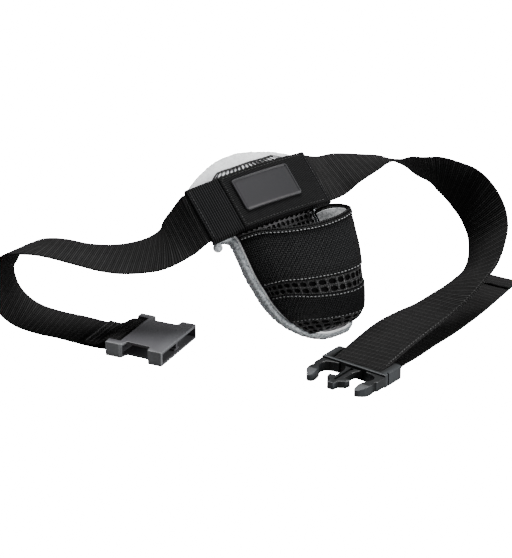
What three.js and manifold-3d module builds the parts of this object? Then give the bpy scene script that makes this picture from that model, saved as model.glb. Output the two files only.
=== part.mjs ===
// A fishing fighting belt: a padded rod-butt pocket on an open webbing belt, laid on a flat surface.
// Millimetres, +Z up, +X to the wearer's left as seen from the front, +Y away from the front.
import * as THREE from "three";
import { mergeVertices } from "three/addons/utils/BufferGeometryUtils.js";
import Module from "manifold-3d";

const wasm = await Module();
wasm.setup();

const { Vector3, Shape } = THREE;
const { mapLinear, lerp, degToRad } = THREE.MathUtils;

// Gap between pieces that touch
const gap = 0.3;

// Webbing of the belt
const strapWidth = 50;
const strapThick = 2;
const strapSlack = 1;

// How far each arm of the belt spreads over the surface
const leftReach = 230;
const rightReach = 210;
const loopDepth = 200;
const loopRise = 125;

// Pad: half of its width and its lengths from the middle of the sleeve
const padHalf = 45.7;
const wingHalf = 60;
const padAbove = 48;
const padBelow = 141;
const padThick = 7.5;
const padBendAlong = 230;
const padBendAcross = 330;
const padLean = 22;
const crownLean = -5;
const padYaw = 32.5;
const padRoll = -5;
const padRecline = 51;
const padAt = { across: 0.013, back: 0.565 };

// Net on the pad's front, and the net cut into the pocket
const netThick = 1;
const netPitch = 8;
const netBar = 1.8;
const mouthFoot = -0.5;
const mouthRows = 4;
const mouthMargin = 3;
const crownRows = 1;
const crownMargin = 4;

// Binding folded over the pad's edge
const bindingThick = 1.5;
const bindingLap = 6.2;
const bindingSteps = 60;
const outlineSamples = 400;

// Sleeve across the pad, with a label on a panel of its own
const sleeveLength = 121;
const sleeveShift = -2;
const sleeveDrop = -1;
const sleeveWall = 1.8;
const sleeveLip = 1.6;
const sleeveHemWidth = 5;
const sleeveHemThick = 1.2;
const panelLength = 84;
const panelThick = 1;
const labelLength = 56;
const labelWidth = 32;
const labelThick = 1.8;
const labelRim = 1.4;
const labelRimDepth = 0.6;
const labelCorner = 2.5;
const labelShift = 7.5;
const labelRaise = 3.2;

// Pocket: how far it stands out of the pad, its mouth below the sleeve, and its length down the pad
const pocketOut = 33;
const pocketDrop = 2;
const pocketLength = 105;
const pocketWall = 1.8;
const liningThick = 1;
const rimLap = 5;
const rimThick = 1;

// Buckle shared by both halves
const buckleWidth = 66;
const buckleHeight = 13.4;
const buckleWall = 2.3;
const buckleBevel = 0.7;
const barRadius = 3;
const femaleLength = 55;
const femaleWaist = 8;
const femaleTurn = -26;
const femaleAt = { across: -0.486, back: 0.297 };
const maleTurn = -127.5;
const maleAt = { across: 0.421, back: -0.03 };
const maleArm = 32;
const maleFrame = 22;
const maleArmHeight = 9.5;
const maleTongueHeight = 7;
const maleTongueWidth = 9;
const armFoot = 1.2;
const armHead = 11.2;
const armRoot = 19;
const noseTaper = 3;
const plugGroove = 1.8;
const tongueFoot = 2.6;
const tongueHead = 11;

// Doubled end at the female buckle and folded hem at the free end
const doubledEnd = 26;
const hemLength = 17;

// Strap stations: share of reach out, share of depth back, share of rise up, then the heading of
// the strap's width and its lean, in degrees
const leftRows = [
  { out: 0.283, back: 0.395, up: 0.755, yaw: 23, lean: -36 },
  { out: 0.338, back: 0.39, up: 0.663, yaw: 12, lean: -22 },
  { out: 0.405, back: 0.4, up: 0.598, yaw: 5, lean: -14 },
  { out: 0.495, back: 0.41, up: 0.56, yaw: 0, lean: -9 },
  { out: 0.582, back: 0.42, up: 0.557, yaw: -3, lean: -4 },
  { out: 0.663, back: 0.43, up: 0.577, yaw: -8, lean: 1 },
  { out: 0.743, back: 0.44, up: 0.608, yaw: -10, lean: 3 },
  { out: 0.82, back: 0.455, up: 0.62, yaw: -10, lean: 6 },
  { out: 0.88, back: 0.488, up: 0.592, yaw: -10, lean: 11 },
  { out: 0.938, back: 0.512, up: 0.535, yaw: -12, lean: 18 },
  { out: 0.988, back: 0.533, up: 0.37, yaw: -24, lean: 21 },
  { out: 0.978, back: 0.54, up: 0.225, yaw: -27, lean: 12 },
  { out: 0.942, back: 0.535, up: 0.115, yaw: -26, lean: 5 },
  { out: 0.889, back: 0.52, up: 0.045, yaw: -25, lean: 1 },
  { out: 0.806, back: 0.48, up: 0.016, yaw: -25, lean: 0 },
  { out: 0.714, back: 0.435, up: 0.01, yaw: -26, lean: 0 },
];
const rightRows = [
  { out: 0.325, back: 0.8, up: 0.948, yaw: 33, lean: -24 },
  { out: 0.387, back: 0.84, up: 0.974, yaw: 30, lean: -12 },
  { out: 0.45, back: 0.875, up: 0.984, yaw: 24, lean: -1 },
  { out: 0.511, back: 0.9, up: 0.99, yaw: 19, lean: 9 },
  { out: 0.572, back: 0.91, up: 0.994, yaw: 16, lean: 17 },
  { out: 0.632, back: 0.91, up: 0.975, yaw: 17, lean: 21 },
  { out: 0.702, back: 0.89, up: 0.945, yaw: 32, lean: 25 },
  { out: 0.789, back: 0.86, up: 0.915, yaw: 43, lean: 30 },
  { out: 0.876, back: 0.825, up: 0.846, yaw: 52, lean: 33 },
  { out: 0.937, back: 0.775, up: 0.767, yaw: 56, lean: 35 },
  { out: 0.975, back: 0.725, up: 0.668, yaw: 55, lean: 33 },
  { out: 0.989, back: 0.675, up: 0.574, yaw: 49, lean: 31 },
  { out: 0.98, back: 0.61, up: 0.498, yaw: 42, lean: 30 },
  { out: 0.952, back: 0.54, up: 0.414, yaw: 37, lean: 27 },
  { out: 0.901, back: 0.475, up: 0.355, yaw: 36, lean: 22 },
  { out: 0.835, back: 0.41, up: 0.292, yaw: 37, lean: 16 },
  { out: 0.753, back: 0.35, up: 0.223, yaw: 40, lean: 10 },
  { out: 0.675, back: 0.28, up: 0.192, yaw: 44, lean: 4 },
  { out: 0.593, back: 0.195, up: 0.165, yaw: 49, lean: 0 },
  { out: 0.516, back: 0.1, up: 0.13, yaw: 52, lean: 0 },
];
const tailRows = [
  { out: 0.513, back: 0.1, up: 0.03, yaw: 50, lean: 0 },
  { out: 0.576, back: 0.2, up: 0.018, yaw: 47, lean: 0 },
  { out: 0.648, back: 0.315, up: 0.01, yaw: 50, lean: 0 },
  { out: 0.724, back: 0.42, up: 0.01, yaw: 54, lean: 0 },
  { out: 0.805, back: 0.545, up: 0.01, yaw: 57, lean: 0 },
  { out: 0.881, back: 0.67, up: 0.012, yaw: 58, lean: 0 },
  { out: 0.96, back: 0.81, up: 0.018, yaw: 58, lean: 0 },
  { out: 1.04, back: 0.95, up: 0.026, yaw: 58, lean: 0 },
];

// Half outline of the pad: share of the length above or below the sleeve, share of the half width,
// and how much of the wings it has
const padRows = [
  { along: -1, half: 0.24, wing: 0 },
  { along: -0.98, half: 0.4, wing: 0 },
  { along: -0.94, half: 0.56, wing: 0 },
  { along: -0.87, half: 0.72, wing: 0 },
  { along: -0.78, half: 0.85, wing: 0 },
  { along: -0.68, half: 0.93, wing: 0 },
  { along: -0.57, half: 0.97, wing: 0 },
  { along: -0.45, half: 1, wing: 0 },
  { along: -0.33, half: 1, wing: 0 },
  { along: -0.25, half: 1, wing: 0 },
  { along: -0.22, half: 1, wing: 0.06 },
  { along: -0.19, half: 1, wing: 0.62 },
  { along: -0.16, half: 1, wing: 0.96 },
  { along: -0.1, half: 1, wing: 1 },
  { along: 0, half: 1, wing: 1 },
  { along: 0.27, half: 1, wing: 1 },
  { along: 0.54, half: 1, wing: 1 },
  { along: 0.65, half: 0.88, wing: 1 },
  { along: 0.76, half: 0.72, wing: 1 },
  { along: 0.87, half: 0.52, wing: 1 },
  { along: 0.95, half: 0.32, wing: 1 },
  { along: 1, half: 0.14, wing: 1 },
];

// Section of the pocket from its left seam to its right one: share of its width, how far it swings
// to the right, share of its depth, and share of the sag
const pocketSection = [
  { across: 0, swing: 0, out: 0, sag: 0 },
  { across: 0.05, swing: 0, out: 0.14, sag: 0.05 },
  { across: 0.2, swing: 0, out: 0.43, sag: 0.25 },
  { across: 0.42, swing: 0.01, out: 0.7, sag: 0.7 },
  { across: 0.7, swing: 0.03, out: 0.9, sag: 1 },
  { across: 0.88, swing: 0.1, out: 1, sag: 1 },
  { across: 0.97, swing: 0.18, out: 0.95, sag: 0.8 },
  { across: 1, swing: 0.19, out: 0.82, sag: 0.55 },
  { across: 1, swing: 0.13, out: 0.6, sag: 0.25 },
  { across: 1, swing: 0.05, out: 0.32, sag: 0.05 },
  { across: 1, swing: 0, out: 0, sag: 0 },
];
// Levels of the pocket from its rim to its seam: share of its length, of its depth, how far the front
// sags and how much of the swing it has
const pocketLevels = [
  { down: 0, out: 1, sag: 0.157, swing: 1 },
  { down: 0.05, out: 1, sag: 0.157, swing: 0.97 },
  { down: 0.25, out: 1.02, sag: 0.13, swing: 0.64 },
  { down: 0.45, out: 1.02, sag: 0.105, swing: 0.27 },
  { down: 0.55, out: 0.93, sag: 0.13, swing: 0.17 },
  { down: 0.68, out: 0.82, sag: 0.1, swing: 0.12 },
  { down: 0.81, out: 0.66, sag: 0.06, swing: 0.03 },
  { down: 0.9, out: 0.4, sag: 0.03, swing: 0 },
  { down: 0.955, out: 0.06, sag: 0.01, swing: 0 },
];
const bandTop = 0.45;
const bandFoot = 0.55;
const lowerFoot = 0.81;
const pocketSeam = 0.955;
const pocketColumns = 28;

// Numbers from a to b in equal steps
function steps(a, b, count) {
  return Array.from({ length: count + 1 }, (_, i) => lerp(a, b, i / count));
}

// A geometry from points and triangles, turned so that its faces point out
function facingOut(points, triangles) {
  let volume = 0;
  for (const [a, b, c] of triangles) {
    volume += points[a].dot(points[b].clone().cross(points[c]));
  }
  const turned = volume < 0 ? triangles.map(([a, b, c]) => [a, c, b]) : triangles;
  const geometry = new THREE.BufferGeometry().setFromPoints(points);
  geometry.setIndex(turned.flat());
  return geometry;
}

// Two triangles for each side of a ring of corners
function band(first, second, triangles) {
  first.forEach((a, i) => {
    const next = (i + 1) % first.length;
    triangles.push([a, first[next], second[next]], [a, second[next], second[i]]);
  });
}

// A cloth wall on place(across, down, height), between two heights, with cells left open
function wall(place, across, down, low, high, isGap = () => false) {
  const points = [];
  const triangles = [];
  const row = across.length;
  const layer = row * down.length;
  for (const height of [low, high]) {
    for (const d of down) {
      for (const a of across) points.push(place(a, d, height));
    }
  }
  const open = (i, j) => i < 0 || j < 0 || i >= row - 1 || j >= down.length - 1 || isGap(i, j);
  for (let j = 0; j < down.length - 1; j++) {
    for (let i = 0; i < row - 1; i++) {
      if (open(i, j)) continue;
      const corner = [j * row + i, j * row + i + 1, (j + 1) * row + i + 1, (j + 1) * row + i];
      const upper = corner.map((c) => c + layer);
      triangles.push([upper[0], upper[1], upper[2]], [upper[0], upper[2], upper[3]]);
      triangles.push([corner[0], corner[2], corner[1]], [corner[0], corner[3], corner[2]]);
      const beside = [open(i, j - 1), open(i + 1, j), open(i, j + 1), open(i - 1, j)];
      beside.forEach((isEdge, side) => {
        if (!isEdge) return;
        const next = (side + 1) % 4;
        triangles.push([corner[side], corner[next], upper[next]]);
        triangles.push([corner[side], upper[next], upper[side]]);
      });
    }
  }
  const geometry = facingOut(points, triangles);
  geometry.deleteAttribute("normal");
  return mergeVertices(geometry, 1e-4);
}

// A section carried along stations as rings of its corners. With an outline of the section, both ends
// are capped, and without one the last ring joins the first
function sweep(rings, outline) {
  const size = rings[0].length;
  const triangles = [];
  const ring = (k) => rings[0].map((_, i) => (k % rings.length) * size + i);
  const spans = outline ? rings.length - 1 : rings.length;
  for (let k = 0; k < spans; k++) band(ring(k), ring(k + 1), triangles);
  if (outline) {
    const last = (rings.length - 1) * size;
    const turned = THREE.ShapeUtils.area(outline) < 0;
    for (const [a, b, c] of THREE.ShapeUtils.triangulateShape(outline, [])) {
      const cap = turned ? [a, c, b] : [a, b, c];
      triangles.push([cap[2], cap[1], cap[0]], cap.map((i) => last + i));
    }
  }
  return facingOut(rings.flat(), triangles);
}

// Exact solids for cutting and joining
function solid(geometry) {
  const bare = geometry.index ? geometry.toNonIndexed() : geometry.clone();
  bare.deleteAttribute("normal");
  bare.deleteAttribute("uv");
  const merged = mergeVertices(bare, 1e-4);
  return new wasm.Manifold(
    new wasm.Mesh({
      numProp: 3,
      vertProperties: new Float32Array(merged.attributes.position.array),
      triVerts: new Uint32Array(merged.index.array),
    }),
  );
}
function geometryOf(manifold) {
  const mesh = manifold.getMesh();
  const geometry = new THREE.BufferGeometry();
  const position = new Float32Array(mesh.numVert * 3);
  for (let i = 0; i < mesh.numVert; i++) {
    const from = i * mesh.numProp;
    position.set(mesh.vertProperties.subarray(from, from + 3), i * 3);
  }
  geometry.setAttribute("position", new THREE.BufferAttribute(position, 3));
  geometry.setIndex(new THREE.BufferAttribute(new Uint32Array(mesh.triVerts), 1));
  return geometry;
}
function block(x0, x1, y0, y1, z0, z1) {
  const box = new THREE.BoxGeometry(x1 - x0, y1 - y0, z1 - z0);
  box.translate((x0 + x1) / 2, (y0 + y1) / 2, (z0 + z1) / 2);
  return solid(box);
}
// A plan outline raised from z0 to z1, its upper and lower edges bevelled
function plate(shape, z0, z1, bevel, curveSegments = 5) {
  const settings = {
    depth: z1 - z0 - 2 * bevel,
    bevelEnabled: bevel > 0,
    bevelThickness: bevel,
    bevelSize: bevel,
    bevelOffset: -bevel,
    bevelSegments: 2,
    curveSegments,
  };
  const geometry = new THREE.ExtrudeGeometry(shape, settings);
  return solid(geometry.translate(0, 0, z0 + bevel));
}
// A round bar across a buckle
function crossBar(x, z, radius, length) {
  return solid(new THREE.CylinderGeometry(radius, radius, length, 16).translate(x, 0, z));
}

// Finishes, as the colours of the real pieces
const finish = (color, roughness) => new THREE.MeshStandardMaterial({ color, roughness, metalness: 0 });
const webbing = finish(0x1b1b1c, 0.75);
const nylon = finish(0x17181a, 0.7);
const netting = finish(0x121213, 0.6);
const foam = finish(0x242526, 0.95);
const edging = finish(0xa9abaa, 0.9);
const liningCloth = finish(0xb4b6b5, 0.9);
const rubber = finish(0x4a4b4d, 0.55);
const plastic = finish(0x2d2e30, 0.5);

function named(name, geometry, material) {
  const mesh = new THREE.Mesh(geometry, material);
  mesh.name = name;
  return mesh;
}

// Heights of the layers on the pad's front face
const netLow = 2 * gap;
const netHigh = netLow + netThick;
const bindingLow = netHigh + gap;
const bindingHigh = bindingLow + bindingThick;
const strapLow = bindingHigh + gap;
const strapHigh = strapLow + strapThick;
const sleeveLow = strapHigh + gap;
const sleeveHigh = sleeveLow + sleeveWall;
const panelLow = sleeveHigh + gap;
const panelHigh = panelLow + panelThick;
const labelLow = panelHigh + gap;
const sleeveHalf = strapWidth / 2 + strapSlack + sleeveLip;

// The pad's own frame: across it, up it, and out of its front face, which is bent both ways
function onPad(across, up, height) {
  const turnAcross = across / padBendAcross;
  const turnUp = up / padBendAlong;
  const x = padBendAcross * Math.sin(turnAcross);
  const y = padBendAlong * Math.sin(turnUp);
  const z = padBendAlong * (Math.cos(turnUp) - 1) + padBendAcross * (Math.cos(turnAcross) - 1);
  const slope = Math.cos(turnAcross) * Math.cos(turnUp);
  const normal = new Vector3(Math.sin(turnAcross), Math.sin(turnUp), slope).normalize();
  return new Vector3(x, y, z).addScaledVector(normal, height);
}

// The strap and its sleeve bend with the pad across it, and stay flat from edge to edge
function onStrap(across, up, height) {
  return onPad(across + sleeveShift, 0, height).add(new Vector3(0, up + sleeveDrop, 0));
}

// A table read between its rows by a smooth curve
function smooth(rows, by, keys) {
  const values = rows.flatMap((row) => keys.map((key) => row[key]));
  const curve = new THREE.CubicInterpolant(rows.map((row) => row[by]), values, keys.length);
  return (x) => {
    const found = curve.evaluate(x);
    return Object.fromEntries(keys.map((key, i) => [key, found[i]]));
  };
}

// The pad's outline: its side edges at a share of its length, and a closed curve round it
const padTable = smooth(padRows, "along", ["half", "wing"]);
function padSide(along, side, hasWings = true) {
  const { half, wing } = padTable(along);
  const reach = half * lerp(padHalf, wingHalf, hasWings ? wing : 0);
  const lean = along < 0 ? padLean * along ** 4 : crownLean * along ** 2;
  return new Vector3(lean + side * reach, along * (along < 0 ? padBelow : padAbove), 0);
}
const alongRows = padRows.map((row) => row.along);
const padOutline = new THREE.CatmullRomCurve3(
  [...alongRows.map((a) => padSide(a, 1)), ...alongRows.map((a) => padSide(a, -1)).reverse()],
  true,
  "centripetal",
);
function outlineInset(u, inset) {
  const ahead = padOutline.getTangentAt(u % 1);
  const inward = new Vector3(-ahead.y, ahead.x, 0);
  return padOutline.getPointAt(u % 1).addScaledVector(inward, inset);
}

// The pad's face as a grid: share across it from edge to edge, and place up it. Each edge is found
// where the inset outline crosses that place
function padFace(inset) {
  const ring = steps(0, 1, outlineSamples).map((u) => outlineInset(u, inset));
  const heights = ring.map((point) => point.y);
  const top = Math.max(...heights) - gap;
  const foot = Math.min(...heights) + gap;
  const crossings = (y) =>
    ring.slice(1).flatMap((to, i) => {
      const from = ring[i];
      const crosses = from.y <= y !== to.y <= y;
      return crosses ? [mapLinear(y, from.y, to.y, from.x, to.x)] : [];
    });
  return (share, up, height) => {
    const y = Math.min(Math.max(up, foot), top);
    const found = crossings(y);
    return onPad(mapLinear(share, -1, 1, Math.min(...found), Math.max(...found)), y, height);
  };
}

function padFoam() {
  const inset = bindingThick + 3 * gap;
  const rows = alongRows.map((a) => a * (a < 0 ? padBelow : padAbove));
  return wall(padFace(inset), steps(-1, 1, 8), rows, -padThick, 0);
}

// Net with cells cut out above the sleeve and in the mouth of the pocket
function padNet() {
  const inset = bindingThick + 3 * gap;
  const columns = Math.round(2 * padHalf / netPitch);
  const across = [-1];
  for (let i = 1; i < columns; i++) {
    const middle = mapLinear(i, 0, columns, -1, 1);
    across.push(middle - netBar / (2 * padHalf), middle + netBar / (2 * padHalf));
  }
  across.push(1);
  const down = [-1, -0.95, -0.85, -0.7].map((a) => a * padBelow);
  const notchRows = [-0.25, -0.22, -0.205, -0.19, -0.16, -0.1];
  const netRows = (from, count) => {
    for (let i = 0; i < count; i++) down.push(from + i * netPitch, from + (i + 1) * netPitch - netBar);
  };
  const mouthStart = down.length;
  netRows(mouthFoot * padBelow, mouthRows);
  const mouthEnd = down.length;
  down.push(...notchRows.map((a) => a * padBelow), 0, sleeveHalf - netPitch);
  const crownStart = down.length;
  netRows(sleeveHalf + netBar, crownRows);
  const crownEnd = down.length;
  down.push(0.86 * padAbove, 0.95 * padAbove, padAbove);
  const opened = (j, start, end) => j >= start && j < end && (j - start) % 2 === 0;
  const inner = (i, margin) => i % 2 === 0 && i >= margin && i < across.length - 1 - margin;
  const isGap = (i, j) =>
    (opened(j, mouthStart, mouthEnd) && inner(i, mouthMargin)) ||
    (opened(j, crownStart, crownEnd) && inner(i, crownMargin));
  return wall(padFace(inset), across, down, netLow, netHigh, isGap);
}

// Binding folded over the pad's edge, as a section carried round the outline
function padBinding() {
  const back = -padThick - gap;
  const outside = back - bindingThick;
  const tall = bindingHigh - outside;
  const section = [
    { inset: bindingLap, height: bindingHigh },
    { inset: bindingThick, height: bindingHigh },
    { inset: 0, height: bindingHigh - 0.25 * tall },
    { inset: 0, height: outside + 0.25 * tall },
    { inset: bindingThick, height: outside },
    { inset: bindingLap, height: outside },
    { inset: bindingLap, height: back },
    { inset: bindingThick, height: back },
    { inset: bindingThick, height: bindingLow },
    { inset: bindingLap, height: bindingLow },
  ];
  const rings = steps(0, 1, bindingSteps).slice(0, -1).map((u) =>
    section.map((corner) => {
      const at = outlineInset(u, corner.inset);
      return onPad(at.x, at.y, corner.height);
    }),
  );
  return sweep(rings);
}

// Sleeve: a wall over the strap whose long edges turn down to the pad, with a hem at each end
function sleeve() {
  const inner = strapWidth / 2 + strapSlack;
  const end = sleeveLength / 2;
  const hem = (x) => (end - Math.abs(x) < sleeveHemWidth ? sleeveHemThick : 0);
  const sink = onPad(0, sleeveDrop - inner, 0).z;
  const section = (lift) => [
    { up: -sleeveHalf, height: strapLow + sink },
    { up: -sleeveHalf, height: sleeveHigh + lift },
    { up: sleeveHalf, height: sleeveHigh + lift },
    { up: sleeveHalf, height: strapLow + sink },
    { up: inner, height: strapLow + sink },
    { up: inner, height: sleeveLow },
    { up: -inner, height: sleeveLow },
    { up: -inner, height: strapLow + sink },
  ];
  const hemEdge = end - sleeveHemWidth;
  const hemStep = 0.2;
  const places = [-end, -hemEdge - hemStep, ...steps(-hemEdge, hemEdge, 16), hemEdge + hemStep, end];
  const rings = places.map((x) => section(hem(x)).map((c) => onStrap(x, c.up, c.height)));
  return sweep(rings, section(0).map((c) => new THREE.Vector2(c.up, c.height)));
}

function sleevePanel() {
  const end = sleeveLength / 2 - sleeveHemWidth - gap;
  const rows = [-sleeveHalf + gap, sleeveHalf - gap];
  return wall(onStrap, steps(end - panelLength, end, 12), rows, panelLow, panelHigh);
}

// Label: a thin plate with round corners and a raised rim
function label() {
  const rounded = (length, width, corner) => {
    const shape = new Shape();
    const x = length / 2;
    const y = width / 2;
    shape.moveTo(-x + corner, -y);
    shape.lineTo(x - corner, -y).absarc(x - corner, -y + corner, corner, -Math.PI / 2, 0);
    shape.lineTo(x, y - corner).absarc(x - corner, y - corner, corner, 0, Math.PI / 2);
    shape.lineTo(-x + corner, y).absarc(-x + corner, y - corner, corner, Math.PI / 2, Math.PI);
    shape.lineTo(-x, -y + corner).absarc(-x + corner, -y + corner, corner, Math.PI, 1.5 * Math.PI);
    return shape;
  };
  const outer = plate(rounded(labelLength, labelWidth, labelCorner), 0, labelThick, 0, 4);
  const recess = rounded(labelLength - 2 * labelRim, labelWidth - 2 * labelRim, labelCorner - labelRim / 2);
  const cut = plate(recess, labelThick - labelRimDepth, labelThick + labelRimDepth, 0, 4);
  const flat = geometryOf(outer.subtract(cut).refineToLength(labelWidth / 2));
  const position = flat.attributes.position;
  for (let i = 0; i < position.count; i++) {
    const x = position.getX(i) + labelShift;
    const y = position.getY(i) + labelRaise;
    const bent = onStrap(x, y, labelLow + position.getZ(i));
    position.setXYZ(i, bent.x, bent.y, bent.z);
  }
  return flat;
}

// Pocket: a wall bowed out of the pad between the two runs of binding
const sectionTable = smooth(
  pocketSection.map((row, i) => ({ ...row, place: i / (pocketSection.length - 1) })),
  "place",
  ["across", "swing", "out", "sag"],
);
const pocketTable = smooth(pocketLevels, "down", ["out", "sag", "swing"]);
const pocketFoot = netHigh + 2 * gap + liningThick + bindingThick;
function pocketSkin(t, down) {
  const level = pocketTable(Math.max(down, 0));
  const at = sectionTable(t);
  const mouth = sleeveDrop - sleeveHalf - pocketDrop;
  const up = mouth - pocketLength * (down + level.sag * at.sag);
  const along = Math.max((mouth - pocketLength * down) / padBelow, -pocketSeam);
  const edge = (side) => padSide(along, side, false).x - side * (bindingLap + 2 * gap);
  const x = lerp(edge(-1), edge(1), at.across + at.swing * level.swing);
  return onPad(x, up, pocketFoot + pocketOut * level.out * at.out);
}
function onPocket(t, down, height) {
  const step = 0.01;
  const at = pocketSkin(t, down);
  const from = pocketSkin(Math.max(t - step, 0), down);
  const to = pocketSkin(Math.min(t + step, 1), down);
  const below = pocketSkin(t, down + step);
  const normal = below.sub(pocketSkin(t, down - step)).cross(to.sub(from)).normalize();
  return at.addScaledVector(normal, height);
}

const pocketTrim = gap / (2 * pocketLength);
const pocketRound = steps(0, 1, pocketColumns);
const upperRows = steps(0, bandTop, 7);

function pocketPanel(rows) {
  const down = [rows[0] + pocketTrim, ...rows.slice(1, -1), rows[rows.length - 1] - pocketTrim];
  return wall(onPocket, pocketRound, down, -pocketWall / 2, pocketWall / 2);
}

function pocketNet(from, to, cells, columns) {
  const bar = netBar / pocketLength;
  const pitch = (to - from) / cells;
  const down = [from + pocketTrim];
  for (let j = 0; j < cells; j++) {
    down.push(from + j * pitch + bar, from + (j + 1) * pitch - (j < cells - 1 ? 0 : bar));
  }
  down.push(to - pocketTrim);
  const across = [0];
  for (let i = 1; i < columns; i++) across.push((i - 0.18) / columns, (i + 0.18) / columns);
  across.push(1);
  const isGap = (i, j) => i % 2 === 0 && i > 0 && i < across.length - 2 && j % 2 === 1 && j < down.length - 2;
  return wall(onPocket, across, down, -netThick / 2, netThick / 2, isGap);
}

// The lining lies behind the rows of the upper panel that the rim's binding leaves free
function pocketLining() {
  const outside = -pocketWall / 2 - gap;
  return wall(onPocket, pocketRound.slice(1, -1), upperRows.slice(1, -1), outside - liningThick, outside);
}

// Binding folded over the rim
function pocketRim() {
  const inner = pocketWall / 2 + 1.3 * gap;
  const outer = inner + rimThick;
  const section = [
    { down: rimLap, height: outer },
    { down: -rimThick, height: outer },
    { down: -gap - 1.4 * rimThick, height: 0 },
    { down: -rimThick, height: -outer },
    { down: rimLap, height: -outer },
    { down: rimLap, height: -inner },
    { down: -gap, height: -inner },
    { down: -gap, height: inner },
    { down: rimLap, height: inner },
  ];
  const rings = pocketRound.slice(1, -1).map((t) =>
    section.map((corner) => onPocket(t, corner.down / pocketLength, corner.height)),
  );
  return sweep(rings, section.map((c) => new THREE.Vector2(c.down, c.height)));
}

// One half of the side-release buckle: the socket. Its bar is at x = 0 and its mouth is towards +X
function femaleBuckle() {
  const half = buckleWidth / 2;
  const rear = -barRadius - strapThick;
  const front = rear + femaleLength;
  const slotEnd = barRadius + strapThick + 1.2;
  const waist = half - femaleWaist;
  const waistRear = slotEnd + 7;
  const waistFront = front - 16;
  const corner = 1.5;
  const shape = new Shape();
  shape.moveTo(rear, -half);
  shape.lineTo(slotEnd + 2, -half);
  shape.bezierCurveTo(slotEnd + 6, -half, waistRear - 3, -waist, waistRear, -waist);
  shape.lineTo(waistFront, -waist - 0.5);
  shape.bezierCurveTo(waistFront + 2, -waist - 0.5, waistFront + 1, -half, waistFront + 3, -half);
  shape.lineTo(front - corner, -half);
  shape.quadraticCurveTo(front, -half, front, -half + corner);
  shape.lineTo(front, half - corner);
  shape.quadraticCurveTo(front, half, front - corner, half);
  shape.lineTo(waistFront + 3, half);
  shape.bezierCurveTo(waistFront + 1, half, waistFront + 2, waist + 0.5, waistFront, waist + 0.5);
  shape.lineTo(waistRear, waist);
  shape.bezierCurveTo(waistRear - 3, waist, slotEnd + 6, half, slotEnd + 2, half);
  shape.lineTo(rear, half);
  shape.closePath();
  const body = plate(shape, 0, buckleHeight, buckleBevel);
  const slotHalf = strapWidth / 2 + 1;
  const slot = block(rear - 1, slotEnd, -slotHalf, slotHalf, -1, buckleHeight + 1);
  const insideHalf = half - buckleWall;
  const cavityRear = slotEnd + buckleWall;
  const low = buckleWall;
  const high = buckleHeight - buckleWall;
  const cavity = block(cavityRear, front + 1, -insideHalf, insideHalf, low, high);
  const guide = block(cavityRear - 1, front - 2.5, -1.5, 1.5, low - 0.5, high + 0.5);
  const guideFoot = block(cavityRear - 1, front - 2.5, -4, 4, low - 0.5, low + 1.6);
  const bar = crossBar(0, buckleHeight / 2, barRadius, 2 * slotHalf + 2);
  return geometryOf(body.subtract(slot).subtract(cavity).add(guide).add(guideFoot).add(bar));
}

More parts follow.
